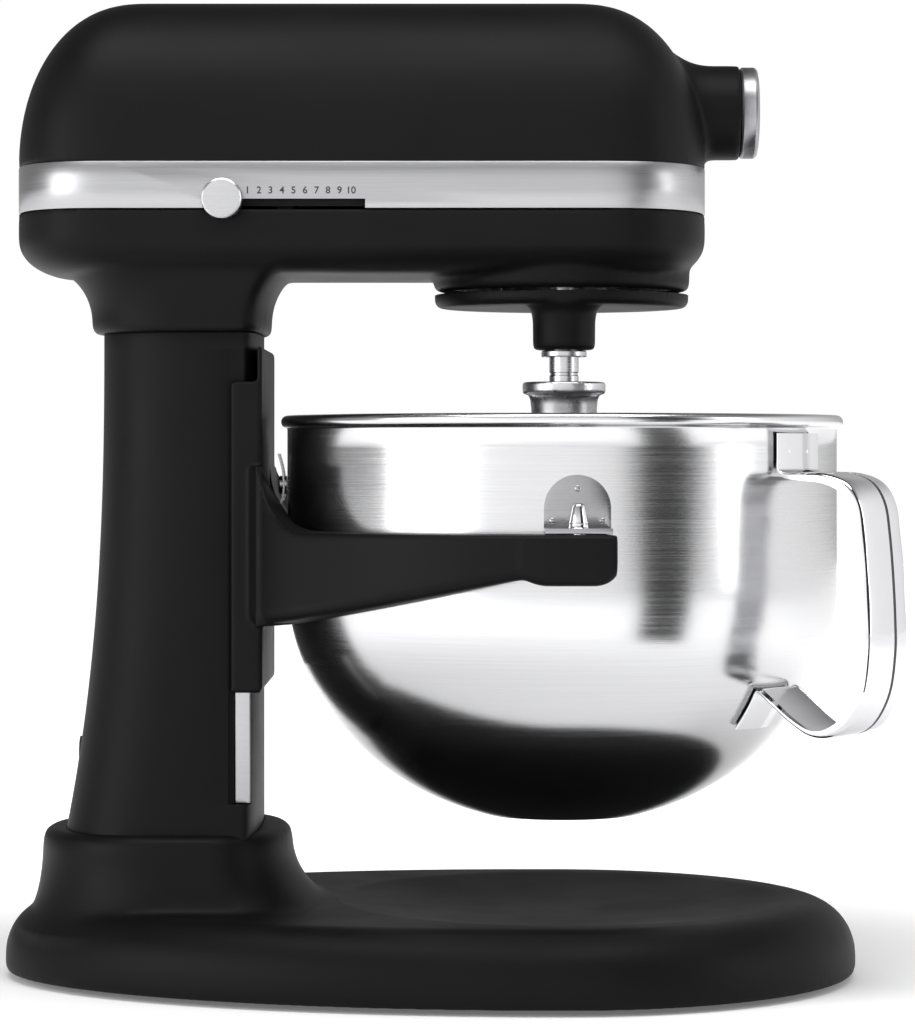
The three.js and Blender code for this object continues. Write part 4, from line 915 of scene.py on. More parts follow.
    def numbers(self, material: bpy.types.Material) -> None:
        """Builds the numbers 1 to 10 printed above the slot."""
        first, last, size = -132.8, -89.6, 4.1
        for i in range(10):
            curve = bpy.data.curves.new("number", "FONT")
            curve.body = str(i + 1)
            curve.size = size
            curve.align_x = "CENTER"
            curve.extrude = 0.03
            curve.offset = 0.07
            text = bpy.data.objects.new("number", curve)
            bpy.context.scene.collection.objects.link(text)
            flat = bpy.data.meshes.new_from_object(text.evaluated_get(bpy.context.evaluated_depsgraph_get()))
            shell = Shell()
            shell.bm.from_mesh(flat)
            bpy.data.objects.remove(text)
            bpy.data.meshes.remove(flat)
            place = Matrix.Translation((first + (last - first) * i / 9, -HEAD.half - 0.04, 334.2))
            bmesh.ops.transform(
                shell.bm, matrix=place @ Matrix.Rotation(math.pi / 2, 4, "X"), verts=shell.bm.verts,
            )
            shell.finish(f"speed_number_{i + 1}", "root", "plastic", material)


# ---------------------------------------------------------------- drive and beater
@dataclass
class Drive:
    """The planetary head, the beater shaft and the beater."""

    orbit: float = 38.0
    disc_radius: float = 55.0
    disc_low: float = 288.6
    disc_high: float = 294.4
    boss_low: float = 269.4
    shaft_radius: float = 6.2
    shaft_low: float = 231.0
    pin_z: float = 243.5
    beater_low: float = 90.0
    beater_half: float = 60.0
    beater_thick: float = 9.0

    def build(self, finishes: Finishes) -> None:
        """Builds the pieces from the head downward."""
        centre = (0, -self.orbit, 0)
        shell = Shell()
        disc = [
            (0, self.disc_low + 1.4), (38, self.disc_low), (48, self.disc_low),
            *arc((51.8, 291.8), 3.2, -90, 0, 6),
        ]
        shell.turn([*disc, (self.disc_radius, self.disc_high), (0, self.disc_high)], 128)
        boss = [
            (0, self.boss_low), *arc((11.4, 271.2), 1.8, -90, 0, 5), (13.3, 282), (14, 286), (17, 289.5),
            (0, 292),
        ]
        shell.turn(boss, 64, centre)
        skin = shell.fused(0.9, 4, lambda p: p.z > self.disc_high - 1)
        skin = skin.cut(
            turned_shell(rod(self.boss_low - 1, self.disc_high + 1, self.shaft_radius + 0.3), 48, centre)
        )
        paint = finishes.by_slot["cast_paint"]
        skin.finish("planetary_casting", "planetary", "cast_paint", paint, ["planetary_head"], 50)
        machined = finishes.by_slot["machined_steel"]
        r = self.shaft_radius
        shaft = [
            (0, self.shaft_low), (r - 0.8, self.shaft_low), (r, self.shaft_low + 0.8), (r, 258.5),
            (r - 0.4, 258.9),
            (r - 0.4, 259.7), (r, 260.1), (r, 293.8), (4.4, 293.8), (4.4, 300.2), (4, 300.6), (0, 300.6),
        ]
        rod_shell = turned_shell(shaft, 64, centre)
        rod_shell = rod_shell.cut(turned_shell(rod(-20, 20, 2.1), 32, (0, -self.orbit, self.pin_z), "X"))
        rod_shell.finish("beater_shaft_bar", "beater_drive", "machined_steel", machined, ["beater_shaft"], 40)
        inner, high = 6.5, self.boss_low - 0.3
        washer = [
            (inner, high - 2.6), (9.2, high - 2.6), (9.6, high - 2.2), (9.6, high - 0.4), (9.2, high),
            (inner, high), (inner, high - 2.6),
        ]
        turned_shell(washer, 64, centre).finish(
            "shaft_washer_ring", "beater_drive", "machined_steel", machined, ["shaft_washer"], 40
        )
        self.beater(finishes, centre)

    def outline(self) -> tuple[list[tuple[float, float]], list[list[tuple[float, float]]]]:
        """Returns the blade's outline and its four windows, as pairs of x and z."""
        top, half, low = self.shaft_low - 8, self.beater_half, self.beater_low
        right = smooth_path([
            (13, top + 3), (34, top + 1.5), (50, top - 9), (58.5, top - 27), (half, top - 42),
            (58.6, top - 66),
            (53, top - 90), (43, top - 110), (29, top - 125), (12, low + 0.6), (0, low),
        ], 6)
        outer = right + [(-x, z) for x, z in reversed(right)]
        windows = []
        for side in (-1, 1):
            upper = smooth_path([
                (8.5, top - 13), (30, top - 14.5), (43, top - 22), (49, top - 36), (49.5, top - 52),
                (47, top - 60.5),
                (28, top - 70.5), (10.5, top - 80), (7.4, top - 78), (7, top - 60), (7, top - 30),
                (7.2, top - 15), (8.5, top - 13),
            ], 4)
            lower = smooth_path([
                (7, top - 91), (9, top - 92), (27, top - 82), (44, top - 73), (46.6, top - 74),
                (43.5, top - 90),
                (36, top - 104), (24, top - 116), (10, low + 10.4), (7.4, low + 12), (7, low + 24),
                (7, top - 91),
            ], 4)
            for window in (upper, lower):
                windows.append([(side * x, z) for x, z in window[:-1]])
        return outer[:-1], windows

    def beater(self, finishes: Finishes, centre: Point) -> None:
        """Builds the flat beater: a rounded open blade under a turned hub."""
        outer, windows = self.outline()
        bm = bmesh.new()
        for loop in [outer, *windows]:
            verts = [bm.verts.new((x, 0, z)) for x, z in loop]
            for a, b in zip(verts, verts[1:] + verts[:1]):
                bm.edges.new((a, b))
        bmesh.ops.triangle_fill(bm, use_beauty=True, use_dissolve=False, edges=bm.edges[:], normal=(0, -1, 0))
        grown = bmesh.ops.extrude_face_region(bm, geom=bm.faces[:])["geom"]
        half = self.beater_thick / 2 - 0.1
        moved = [item for item in grown if isinstance(item, bmesh.types.BMVert)]
        bmesh.ops.translate(bm, vec=(0, 2 * half, 0), verts=moved)
        bmesh.ops.recalc_face_normals(bm, faces=bm.faces)
        bmesh.ops.translate(bm, vec=(0, -half - self.orbit, 0), verts=bm.verts)
        shell = Shell()
        shell.take(bm)
        neck = self.shaft_low - 8
        hub = [
            (0, neck - 6), (7, neck - 5), (13, neck + 1), (14, neck + 4), (14, 243), (14.2, 247.5),
            (14.8, 250.4), (17.2, 250.9), (17.6, 251.6), (17.6, 255.2), (17, 255.9), (0, 255.9),
        ]
        shell.turn(hub, 96, centre)
        skin = shell.fused(0.8, 4, lambda p: p.z > 249.5)
        skin = skin.cut(turned_shell(rod(224, 257, self.shaft_radius + 0.3), 64, centre))
        low = (-20, -self.orbit - 2.1, self.pin_z - 8.1)
        skin = skin.cut(box_shell(low, (20, -self.orbit + 2.1, self.pin_z + 2.1)))
        skin.finish(
            "flat_beater_casting", "beater", "beater_metal", finishes.by_slot["beater_metal"],
            ["flat_beater"], 50,
        )


# ---------------------------------------------------------------- bowl
@dataclass
class Bowl:
    """The bowl with its brackets, handle and stud."""

    radius: float = 119.0
    top: float = 242.0
    low: float = 69.5
    curve_top: float = 170.0
    wall: float = 1.4
    bead: float = 2.7
    bracket_wide: float = 27.0
    bracket_low: float = 193.6
    bracket_top: float = 217.0
    pin_x: float = 3.0
    pin_y: float = 133.5
    handle_turn: float = math.radians(-37.5)
    handle_thick: float = 1.7
    groove: tuple[float, float] = (3.7, 5.8)

    def radius_at(self, z: float, radius: float) -> float:
        """Returns the radius at a height, for a shell that is radius wide at the top."""
        if z >= self.curve_top:
            return radius
        return radius * math.sqrt(1 - ((self.curve_top - z) / (self.curve_top - self.low + 4)) ** 2)

    def build(self, finishes: Finishes) -> None:
        """Builds the bowl and what is welded on it."""
        steel = finishes.by_slot["stainless"]
        heights = [self.low + (self.curve_top - self.low) * (1 - math.cos(a)) for a in quarter(40)]
        outside = [(self.radius_at(z, self.radius), z) for z in heights]
        wall_top = [
            (self.radius, self.curve_top + (self.top - 6 - self.curve_top) * i / 8) for i in range(1, 9)
        ]
        bead_z = self.top - self.bead
        bead = arc((self.radius, bead_z), self.bead, -80, 200, 22)
        inner = self.radius - self.wall
        inside = [(inner, wall_z) for _, wall_z in reversed(wall_top)]
        inside += [(self.radius_at(z, inner), z + self.wall) for z in reversed(heights)]
        floor_ease = [(outside[0][0] - 1.2, self.low)]
        profile = [
            (0, self.low), *floor_ease, *outside[1:], *wall_top, *bead, *inside, (0, self.low + self.wall),
        ]
        turned_shell(profile, 192).finish("bowl_shell", "bowl", "stainless", steel, ["bowl"], 50)
        for side, node in ((-1, "bowl_bracket_left"), (1, "bowl_bracket_right")):
            self.bracket(side).finish(f"{node}_plate", "bowl", "stainless", finishes.bracket, [node], 40)
        stud = [(0, -3.8), (3.4, -3.8), (4, -3.2), (4, -0.3), (0, -0.3)]
        stud_shell = turned_shell(stud, 40, (-self.radius, 0, 212), "X")
        machined = finishes.by_slot["machined_steel"]
        stud_shell.finish("bowl_stud_button", "bowl", "machined_steel", machined, ["bowl_stud"], 40)
        polished = finishes.by_slot["polished_steel"]
        self.handle().finish("bowl_handle_strap", "bowl", "polished_steel", polished, ["bowl_handle"], 40)
        # Black strip in the handle's groove: painted shade for the groove's dark inside.
        self.painted_groove_shade().finish("bowl_handle_groove_painted_shade", "bowl", "plastic", finishes.by_slot["plastic"])

    def bracket(self, side: int) -> Shell:
        """Builds one bracket: a domed plate on the wall, a flange with the pin hole, and weld marks.

        Args:
            side: -1 for the near side, 1 for the far side.

        Returns:
            The shell.
        """
        half, low = self.bracket_wide / 2, self.bracket_low
        middle = self.pin_x
        dome = [
            (middle - half, low), (middle + half, low),
            *arc((middle, self.bracket_top - half), half, 0, 180, 32),
        ]
        y0, y1 = sorted((side * (self.radius - 8), side * (self.radius + 6)))
        inner, outer = self.radius + 0.3, self.radius + 2
        skin = [(inner, low - 1), (outer, low - 1), (outer, 218), (inner, 218), (inner, low - 1)]
        plate = turned_shell(skin, 360).cut(prism(dome, y0, y1), "INTERSECT")
        plate.soften(0.35, 60, 2)
        f0, f1 = sorted((side * (self.radius - 6), side * (self.radius + 20)))
        flange = box_shell((middle - half, f0, low), (middle + half, f1, low + 2.2))
        flange = flange.cut(turned_shell(rod(low - 1, low + 4, self.radius + 0.3), 360))
        flange = flange.cut(turned_shell(rod(low - 1, low + 4, 4.9), 40, (middle, side * self.pin_y, 0)))
        flange.soften(0.5, 60, 2)
        plate.take(flange.bm)
        for x, z in ((middle - 10, 198.5), (middle + 10, 198.5), (middle, 211.5)):
            y = side * (math.sqrt(outer**2 - x**2) - 0.1)
            plate.turn(
                [(0, 0.5), (0.5, 0.46), (1, 0.3), (1.35, 0), (0, 0)][::-1], 20, (x, y, z),
                "Y" if side > 0 else "-Y",
            )
        return plate

    def path(self) -> list[list[float]]:
        """Returns the handle's line, rim to lower tab: radius, height, flange depth and width."""
        wall = self.radius + 0.4 + self.handle_thick / 2
        knots = [
            (wall, 234, 0, 31), (wall, 224, 0, 31), (wall + 0.6, 218.6, 0.6, 31), (wall + 4, 217, 1.5, 31),
            (132, 217, 2.4, 31), (143, 216.6, 3.2, 31), (153, 213, 4, 31), (158.6, 205, 4.6, 31),
            (160.8, 193, 4.8, 31),
            (162.4, 176, 4.8, 31), (163.4, 158, 4.8, 31), (163.4, 144, 4.8, 31), (160.8, 128, 4.6, 31),
            (154, 116, 4, 31), (145, 110.9, 2.8, 31), (136, 111, 1.4, 31), (127, 115.8, 0.7, 31),
            (119, 121.8, 0.4, 31),
            (113.6, 125.9, 0.2, 31), (111.2, 127.5, 0.1, 31), (109.6, 126.9, 0, 31),
            (self.radius_at(123, self.radius) + 1.25, 123, 0, 31),
            (self.radius_at(117, self.radius) + 1.2, 117, 0, 31),
            (self.radius_at(111.6, self.radius) + 1.2, 111.6, 0, 31),
        ]
        return smooth_path(knots, 7)

    def swept(
        self, line: list[list[float]], section: Callable[[float, float], list[tuple[float, float]]],
    ) -> Shell:
        """Sweeps a section along a line in the handle's own plane, before it is turned round the bowl.

        Args:
            line: radius, height, flange depth and width of each station.
            section: gives the section's places across and over the line for a width and a depth.

        Returns:
            The shell.
        """
        rings: list[Ring] = []
        for i, (r, z, depth, wide) in enumerate(line):
            before, after = line[max(0, i - 1)], line[min(len(line) - 1, i + 1)]
            along = Vector((after[0] - before[0], 0, after[1] - before[1])).normalized()
            out = Vector((-along.z, 0, along.x))
            if 132 < z < 202 and r > 158:
                depth += 0.8 * math.cos((z - 140) * math.tau / 26.5)
            rings.append([tuple(Vector((r, y, z)) + out * n) for y, n in section(wide, depth)])
        shell = Shell()
        shell.loft(rings)
        return shell

    def handle(self) -> Shell:
        """Builds the strap: a shallow channel swept along its line, with finger waves and weld marks."""
        shell = self.swept(self.path(), self.section)
        wall = [(self.radius_at(z, self.radius) + 0.3, z) for z in range(68, 240, 4)]
        shell = shell.cut(turned_shell([(0, 60), *wall, (0, 240)], 180))
        face = self.radius + 0.4 + self.handle_thick
        for y in (-6.8, 6.8):
            shell.turn([(0, -0.3), (0.8, -0.3), (0.8, 0.1), (0.5, 0.3), (0, 0.3)], 20, (face, y, 226.5), "X")
        bmesh.ops.rotate(shell.bm, matrix=Matrix.Rotation(self.handle_turn, 3, "Z"), verts=shell.bm.verts)
        return shell

    def painted_groove_shade(self) -> Shell:
        """Builds a black strip sunk in the handle's groove: painted shade for the dark shadow inside the
        groove.
        """
        line = [station for station in self.path() if station[0] > 146]
        t = self.handle_thick / 2
        low, high = self.groove
        shell = self.swept(
            line, lambda wide,
            depth: [
                (low + 0.05, t - 0.7), (low + 0.05, t + 0.05), (high - 0.05, t + 0.05),
                (high - 0.05, t - 0.7),
            ],
        )
        bmesh.ops.rotate(shell.bm, matrix=Matrix.Rotation(self.handle_turn, 3, "Z"), verts=shell.bm.verts)
        return shell

    def section(self, wide: float, depth: float) -> list[tuple[float, float]]:
        """Returns the channel's closed section, as pairs of place across and height over its line.

        Args:
            wide: its width.
            depth: how far its edges fold inward.

        Returns:
            The points.
        """
        half, t = wide / 2, self.handle_thick
        bend = min(3.0, 0.4 + depth * 0.45)
        left = [(-half, -depth), *arc((-half + bend, t / 2 - bend), bend, 180, 90, 6)]
        right = [(-x, n) for x, n in reversed(left)]
        low, high = self.groove
        sunk = 0.85 * min(1.0, max(0.0, (depth - 2.2) / 0.6))
        groove = [
            (low, t / 2 + 0.26), (low + 0.02, t / 2 + 0.25 - sunk), (high - 0.02, t / 2 + 0.23 - sunk),
            (high, t / 2 + 0.22),
        ]
        crown = [
            (-half * 0.55, t / 2 + 0.2), (-half * 0.2, t / 2 + 0.3), (half * 0.1, t / 2 + 0.3), *groove,
            (half * 0.62, t / 2 + 0.15),
        ]
        inside_bend = max(0.3, bend - t)
        corner = arc((-half + t + inside_bend, -t / 2 - inside_bend), inside_bend, 180, 90, 4)
        under = [(-half + t, min(-depth, -t / 2 - 0.4)), *corner]
        below = under + [(-x, n) for x, n in reversed(under)]
        return [*left, *crown, *right, *below[::-1]]


# ---------------------------------------------------------------- carriage, lift and small fittings
@dataclass
class Carriage:
    """The yoke that carries the bowl, its pins and the spring clip."""

    inner: float = 123.5
    outer: float = 143.5
    arm_top: float = 193.3
    root_low: float = 153.0
    pad_low: float = 175.5
    pad_end: float = 18.5
    face: float = -129.4
    plate_front: float = -127.2
    sweep: float = 19.0
    sweep_end: float = -108.0
    rise: float = 27.0
    slide_low: float = 125.0
    slide_high: float = 271.0
    cheek_high: float = 256.0
    cheek_deep: float = 11.0
    column_half: float = 47.0
    pin_x: float = 3.0
    pin_y: float = 133.5

    def build(self, finishes: Finishes) -> None:
        """Builds the casting and what it carries."""
        shell = Shell()
        for side in (-1, 1):
            shell.loft(self.arm(side))
        half = self.column_half + 5.6
        shell.block((self.face, -half, self.slide_low), (self.plate_front, half, self.slide_high), 1.2)
        root = [(self.face, 153), (self.plate_front + 15, 154.5), (self.plate_front + 15, 180)]
        root += [(x, self.arm_top + self.lift(x)) for x in (self.plate_front + 15 - i for i in range(16))]
        web = prism([*root, (self.face, self.arm_top + self.rise)], -half - 12, half + 12)
        shell.take(web.bm)
        for side in (-1, 1):
            y0, y1 = sorted((side * (self.column_half + 0.6), side * half))
            shell.block(
                (self.face - self.cheek_deep, y0, self.slide_low), (self.face + 2, y1, self.cheek_high), 1.0,
            )
        skin = shell.fused(1.0, 4, lambda p: p.x < self.face + 1.2)
        skin = skin.cut(turned_shell(rod(100, 300, self.inner), 256))
        skin = skin.cut(box_shell((self.plate_front, -9.1, 189), (-103.5, 9.1, 236)))
        skin = skin.cut(
            box_shell(
                (self.face - 20, -self.column_half - 0.6, 100),
                (self.face + 0.05, self.column_half + 0.6, 300),
            )
        )
        for side in (-1, 1):
            skin = skin.cut(turned_shell(rod(185.5, 200, 3.6), 32, (self.pin_x, side * self.pin_y, 0)))
            y0, y1 = sorted((side * (half - 8), side * (half + 2)))
            notch = [
                (self.face - 12, 254.3), (self.face - 7, 256.5), (self.face - 7, 262), (self.face - 12, 262),
            ]
            skin = skin.cut(prism(notch, y0, y1))
        skin = skin.cut(box_shell((self.face - 2, 6.2, 182), (self.plate_front + 2, 11.8, 200)))
        paint = finishes.by_slot["cast_paint"]
        skin.finish("bowl_yoke_casting", "carriage", "cast_paint", paint, ["bowl_yoke"], 50)
        polished = finishes.by_slot["polished_steel"]
        for side, node in ((-1, "locating_pin_left"), (1, "locating_pin_right")):
            turned_shell(self.pin(), 48, (self.pin_x, side * self.pin_y, 0)).finish(
                f"{node}_cone", "carriage", "polished_steel", polished, [node], 30
            )
        self.clip().finish(
            "latch_spring_clip", "carriage", "machined_steel", finishes.by_slot["machined_steel"],
            ["latch_spring"], 40
        )

    def arm(self, side: int) -> list[Ring]:
        """Returns the sections of one arm, from the slide to the pad.

        Args:
            side: -1 for the near arm, 1 for the far one.

        Returns:
            The rings.
        """
        middle = (self.inner + self.outer) / 2
        start, end = math.acos(-126 / middle), math.acos(self.pad_end / self.outer)
        rings = []
        steps = 72
        for i in range(steps + 1):
            t = i / steps
            angle = start + (end - start) * t
            x = middle * math.cos(angle)
            share = min(1.0, max(0.0, (x + 126) / (126 - self.pad_end)))
            low = self.root_low + (self.pad_low - self.root_low) * share
            if x > -self.pad_end:
                low = self.pad_low - 2.6 * math.sin(min(1.0, (x + self.pad_end) / 9) * math.pi / 2)
            nose = max(0.0, x - self.pad_end + 9)
            low += 10 - math.sqrt(max(0.0, 100 - min(nose, 10) ** 2))
            bulge = 0.5 if x > -self.pad_end - 2 else 0.0
            ring = []
            for r, z in self.section(self.inner - 1, self.outer - 0.6 + bulge, low, self.arm_top):
                if z > self.arm_top - 8:
                    z += self.lift(math.cos(angle) * r)
                ring.append((math.cos(angle) * r, side * math.sin(angle) * r, z))
            rings.append(ring)
        return rings

    def lift(self, x: float) -> float:
        """Returns how far the hollow sweep into the slide stands over the arms at a place along them."""
        share = min(1.0, max(0.0, (self.sweep_end - x) / self.sweep))
        return self.rise * (1 - math.sqrt(1 - share**2))

    @staticmethod
    def section(inner: float, outer: float, low: float, high: float) -> list[tuple[float, float]]:
        """Returns an arm's section with rounded outer corners, as pairs of radius and height."""
        top, foot = 2.0, min(5.0, (high - low) / 3)
        upper = arc((outer - top, high - top), top, 90, 0, 4)
        lower = arc((outer - foot, low + foot), foot, 0, -90, 6)
        return [(inner, high), (inner + 2, high), *upper, *lower, (inner + 2, low), (inner, low)]

    def pin(self) -> list[tuple[float, float]]:
        """Returns the profile of a locating pin: a tapered cone with two fine rings."""
        top = self.arm_top
        return [
            (0, top - 6.8), (3.2, top - 6.8), (3.2, top + 0.3), (4.3, top + 0.3), (4.3, top + 2.6),
            (4.0, top + 3),
            (3.8, top + 4.2), (3.95, top + 4.5), (3.6, top + 5.6), (2.5, top + 11.2), (1.9, top + 12.1),
            (1.2, top + 12.5),
            (0, top + 12.5),
        ]

    def clip(self) -> Shell:
        """Builds the spring clip behind the bowl: two bowed leaf legs joined at the foot."""
        back = self.plate_front + 0.3
        line = smooth_path([
            (back + 0.5, 190.5), (back + 0.6, 194), (-124.6, 199.5), (-121.5, 205), (-120.4, 209),
            (-120.35, 214),
            (-121.1, 219.5), (-122.7, 225.6),
        ], 4)
        shell = Shell()
        for side in (-1, 1):
            legs = []
            for x, z in line:
                y = side * 7
                legs.append(
                    [
                        (x - 0.35, y - 1.4, z), (x + 0.35, y - 1.4, z), (x + 0.35, y + 1.4, z),
                        (x - 0.35, y + 1.4, z),
                    ]
                )
            shell.loft(legs)
        shell.block((back, -8, 190.2), (back + 0.8, 8, 195), 0.2, 2)
        return shell


@dataclass
class Fittings:
    """The speed knob, the attachment hub's cap and screw, and the lift lever."""

    knob: Point = (-143.3, -63.4, 331.8)
    hub_z: float = 373.5
    hub_end: float = 77.0
    thumb_x: float = 67.0
    lift: Point = (-157.0, 60.0, 172.0)
    lever_length: float = 66.0

    def build(self, finishes: Finishes) -> None:
        """Builds every fitting."""
        face = [(0, 0), (7.6, 0), (8.6, 1), (8.6, 5.2), (8.3, 6.0), (7.7, 6.45), (7, 6.5), (0, 6.5)]
        knob = turned_shell(face, 96, self.knob, "-Y")
        knob.finish("speed_knob_disc", "speed_lever", "band_metal", finishes.knob, ["speed_knob"], 30)
        self.cap().finish("hub_cap_knurled", "hub_cap", "band_metal", finishes.cap, ["hub_cap"], 30)
        self.thumbscrew(finishes.by_slot["plastic"])
        self.lever(finishes)

    def cap(self) -> Shell:
        """Builds the hub's cap: a stem, a knurled rim and a slightly domed face."""
        count, rim, end = 180, 19.75, self.hub_end + 8
        rows = [
            (self.hub_end - 8, 14.7, 0), (self.hub_end + 0.3, 14.7, 0), (self.hub_end + 0.3, 19.0, 0),
            (self.hub_end + 1.1, rim, 0),
            (self.hub_end + 1.6, rim, 0.28), (end - 2.4, rim, 0.28), (end - 1.9, rim, 0),
            (end - 1.1, 19.5, 0),
            (end - 0.4, 18.7, 0), (end - 0.1, 17.2, 0), (end, 14, 0),
        ]
        rings = []
        for x, radius, depth in rows:
            ring = []
            for i in range(count):
                angle = math.tau * i / count
                r = radius - depth * (i % 2)
                ring.append((x, r * math.cos(angle), self.hub_z + r * math.sin(angle)))
            rings.append(ring)
        shell = Shell()
        shell.loft(rings)
        return shell

    def thumbscrew(self, material: bpy.types.Material) -> None:
        """Builds the ribbed screw that holds an attachment."""
        rings = []
        rows = [
            (16.3, 2.9, 0), (21.7, 2.9, 0), (21.7, 5.6, 0), (24, 7.6, 0.5), (24.8, 7.9, 0.9),
            (34, 7.9, 0.9), (35.6, 7, 0.5), (36.3, 5.6, 0),
        ]
        for y, radius, depth in rows:
            ring = []
            for i in range(96):
                angle = math.tau * i / 96
                r = radius - depth * (0.5 + 0.5 * math.cos(12 * angle))
                ring.append((self.thumb_x + r * math.cos(angle), y, self.hub_z + r * math.sin(angle)))
            rings.append(ring)
        shell = Shell()
        shell.loft(rings)
        shell.finish("thumbscrew_head", "thumbscrew", "plastic", material, ["hub_thumbscrew"], 50)

    def lever(self, finishes: Finishes) -> None:
        """Builds the lift lever and its grip."""
        x, y, z = self.lift
        hub = [(6.3, -7.8), (12.2, -7.8), (13, -7), (13, 5), (12.2, 5.9), (6.3, 5.9), (6.3, -7.8)]
        shell = turned_shell(hub, 64, self.lift, "Y")
        shell.block((x - 5, y - 4.8, z + 11.5), (x + 5, y + 2.8, z + self.lever_length - 14), 1.2)
        machined = finishes.by_slot["machined_steel"]
        shell.finish("lift_lever_arm", "lift", "machined_steel", machined, ["lift_lever"], 50)
        low = z + self.lever_length - 11.7
        grip = [
            (0, -2), (6, -2), (7, -1.4),
            *smooth_path([(7.4, -0.6), (9.3, 3), (10.4, 14), (9.4, 24), (6.6, 30), (3.6, 31.8)], 5), (0, 32),
        ]
        turned_shell(grip, 64, (x, y - 1, low)).finish(
            "lift_grip_handle", "lift", "plastic", finishes.by_slot["plastic"], ["lift_grip"], 50
        )


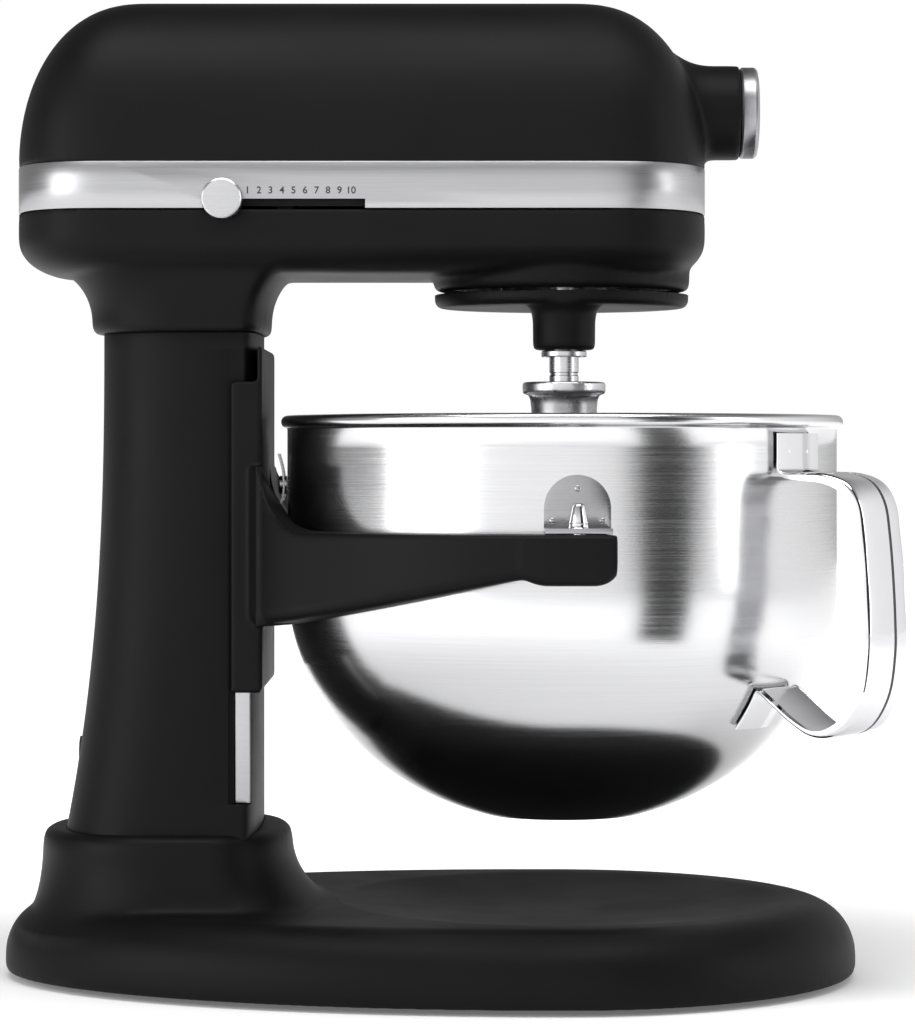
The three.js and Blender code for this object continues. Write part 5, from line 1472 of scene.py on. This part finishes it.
# ---------------------------------------------------------------- studio
@dataclass
class Studio:
    """Floor, world, lights and camera. Lengths here are metres."""

    distance: float = 1.57
    eye: Point = (0.0045, 0.0, 0.225)
    lens: float = 127.0
    shift: float = -0.0556640625
    overhead: float = 0.25
    card: tuple[tuple[float, float], tuple[float, float]] = ((0.2325, -0.371), (0.336, -0.291))
    # share of a turn from -X through -Y and +X, and how bright the surround is there
    panels: tuple[tuple[float, float], ...] = (
        (0.0, 0.4), (0.03, 0.55), (0.055, 1.1), (0.12, 1.4), (0.25, 1.35), (0.31, 1.2), (0.336, 0.07),
        (0.402, 0.07), (0.425, 1.2), (0.5, 1.3), (0.6, 0.95), (0.68, 0.55), (0.75, 0.4), (0.86, 0.3),
        (0.94, 0.3), (1.0, 0.4),
    )

    def build(self) -> None:
        """Sets the whole stage."""
        self.floor()
        self.world()
        self.dark_card()
        self.lights()
        self.camera()
        bpy.context.scene.view_settings.view_transform = "Standard"

    def floor(self) -> None:
        """Lays a plain pale floor."""
        bm = bmesh.new()
        bmesh.ops.create_circle(bm, cap_ends=True, radius=6, segments=96)
        mesh = bpy.data.meshes.new("floor")
        bm.to_mesh(mesh)
        bm.free()
        floor = bpy.data.objects.new("floor", mesh)
        bpy.context.scene.collection.objects.link(floor)
        nodes = Nodes("pale_floor")
        nodes.colour(nodes.noise((3, 3, 3)), (0.93, 0.93, 0.93), (0.95, 0.95, 0.95))
        nodes.set(Roughness=0.9, Specular_IOR_Level=0.1)
        self.whiten(nodes)
        floor.data.materials.append(nodes.material)

    def dark_card(self) -> None:
        """Stands a dark card beside the view, which only the reflections see."""
        bm = bmesh.new()
        corners = [
            bm.verts.new((x, y, z))
            for (x, y), z in zip((*self.card, *self.card[::-1]), (0.001, 0.001, 0.6, 0.6))
        ]
        bm.faces.new(corners)
        mesh = bpy.data.meshes.new("dark_card")
        bm.to_mesh(mesh)
        bm.free()
        card = bpy.data.objects.new("dark_card", mesh)
        card.visible_camera = False
        card.visible_shadow = False
        card.visible_diffuse = False
        bpy.context.scene.collection.objects.link(card)
        mesh.materials.append(Moulded("card_black", (0.02, 0.02, 0.02), (0.8, 0.9)).build())

    @staticmethod
    def whiten(nodes: Nodes) -> None:
        """Makes a floor glow more the further it lies from the object, so that it runs into white."""
        tree = nodes.tree
        reach = tree.nodes.new("ShaderNodeVectorMath")
        reach.operation = "LENGTH"
        tree.links.new(tree.nodes.new("ShaderNodeTexCoord").outputs["Object"], reach.inputs[0])
        glow = tree.nodes.new("ShaderNodeMapRange")
        glow.interpolation_type = "SMOOTHSTEP"
        for key, value in (("From Min", 0.16), ("From Max", 0.6), ("To Min", 0.12), ("To Max", 0.8)):
            glow.inputs[key].default_value = value
        tree.links.new(reach.outputs["Value"], glow.inputs["Value"])
        tree.links.new(glow.outputs["Result"], nodes.shader.inputs["Emission Strength"])
        nodes.shader.inputs["Emission Color"].default_value = (1, 1, 1, 1)

    def world(self) -> None:
        """Surrounds the object with a ring of bright and dark panels that fades overhead."""
        world = bpy.data.worlds.new("surround")
        world.use_nodes = True
        tree = world.node_tree
        place = tree.nodes.new("ShaderNodeTexCoord").outputs["Generated"]
        turn = tree.nodes.new("ShaderNodeTexGradient")
        turn.gradient_type = "RADIAL"
        tree.links.new(place, turn.inputs["Vector"])
        panels = tree.nodes.new("ShaderNodeValToRGB")
        ramp = panels.color_ramp
        for _ in range(len(self.panels) - 2):
            ramp.elements.new(0.5)
        for element, (share, level) in zip(ramp.elements, self.panels):
            element.position = share
            element.color = (level, level, level, 1)
        tree.links.new(turn.outputs["Fac"], panels.inputs["Fac"])
        parts = tree.nodes.new("ShaderNodeSeparateXYZ")
        tree.links.new(place, parts.inputs["Vector"])
        height = tree.nodes.new("ShaderNodeMapRange")
        height.interpolation_type = "SMOOTHSTEP"
        for key, value in (
            ("From Min", 0.35), ("From Max", 0.75), ("To Min", 1.0), ("To Max", self.overhead),
        ):
            height.inputs[key].default_value = value
        tree.links.new(parts.outputs["Z"], height.inputs["Value"])
        background = tree.nodes["Background"]
        tree.links.new(panels.outputs["Color"], background.inputs["Color"])
        tree.links.new(height.outputs["Result"], background.inputs["Strength"])
        plain = tree.nodes.new("ShaderNodeBackground")
        plain.inputs["Color"].default_value = (1, 1, 1, 1)
        choice = tree.nodes.new("ShaderNodeMixShader")
        tree.links.new(tree.nodes.new("ShaderNodeLightPath").outputs["Is Camera Ray"], choice.inputs["Fac"])
        tree.links.new(background.outputs["Background"], choice.inputs[1])
        tree.links.new(plain.outputs["Background"], choice.inputs[2])
        tree.links.new(choice.outputs["Shader"], tree.nodes["World Output"].inputs["Surface"])
        bpy.context.scene.world = world

    def lights(self) -> None:
        """Adds soft lights."""
        self.area("top", (0.0, -0.45, 1.5), (0, 0, 0.2), (1.4, 0.7), 15)
        self.area("left_strip", (-1.5, -1.0, 0.5), (-0.1, 0, 0.25), (1.2, 1.3), 13)
        self.area("right_strip", (1.5, -0.5, 0.6), (0, 0, 0.25), (0.3, 1.0), 3)

    def area(self, name: str, at: Point, aim: Point, size: tuple[float, float], watts: float) -> None:
        """Adds one area light.

        Args:
            name: its name.
            at: its place.
            aim: the point that it faces.
            size: its two sides.
            watts: its power.
        """
        light = bpy.data.lights.new(name, "AREA")
        light.shape = "RECTANGLE"
        light.size, light.size_y = size
        light.energy = watts
        thing = bpy.data.objects.new(name, light)
        thing.location = at
        thing.rotation_euler = (Vector(aim) - Vector(at)).to_track_quat("-Z", "Y").to_euler()
        bpy.context.scene.collection.objects.link(thing)

    def camera(self) -> None:
        """Places the camera level with the middle of the mixer."""
        data = bpy.data.cameras.new("front")
        data.lens = self.lens
        data.sensor_fit = "VERTICAL"
        data.sensor_height = 36
        data.shift_y = self.shift
        camera = bpy.data.objects.new("front", data)
        camera.location = (self.eye[0], -self.distance, self.eye[2])
        camera.rotation_euler = (math.pi / 2, 0, 0)
        bpy.context.scene.collection.objects.link(camera)
        bpy.context.scene.camera = camera


def main() -> None:
    """Builds the whole mixer and its stage."""
    logging.basicConfig(level=logging.INFO, format="%(message)s")
    finishes = Finishes()
    finishes.dress_frame()
    for part in (Base(), Column(), Head(), Drive(), Bowl(), Carriage(), Fittings()):
        part.build(finishes)
    Studio().build()


if __name__ == "__main__":
    main()
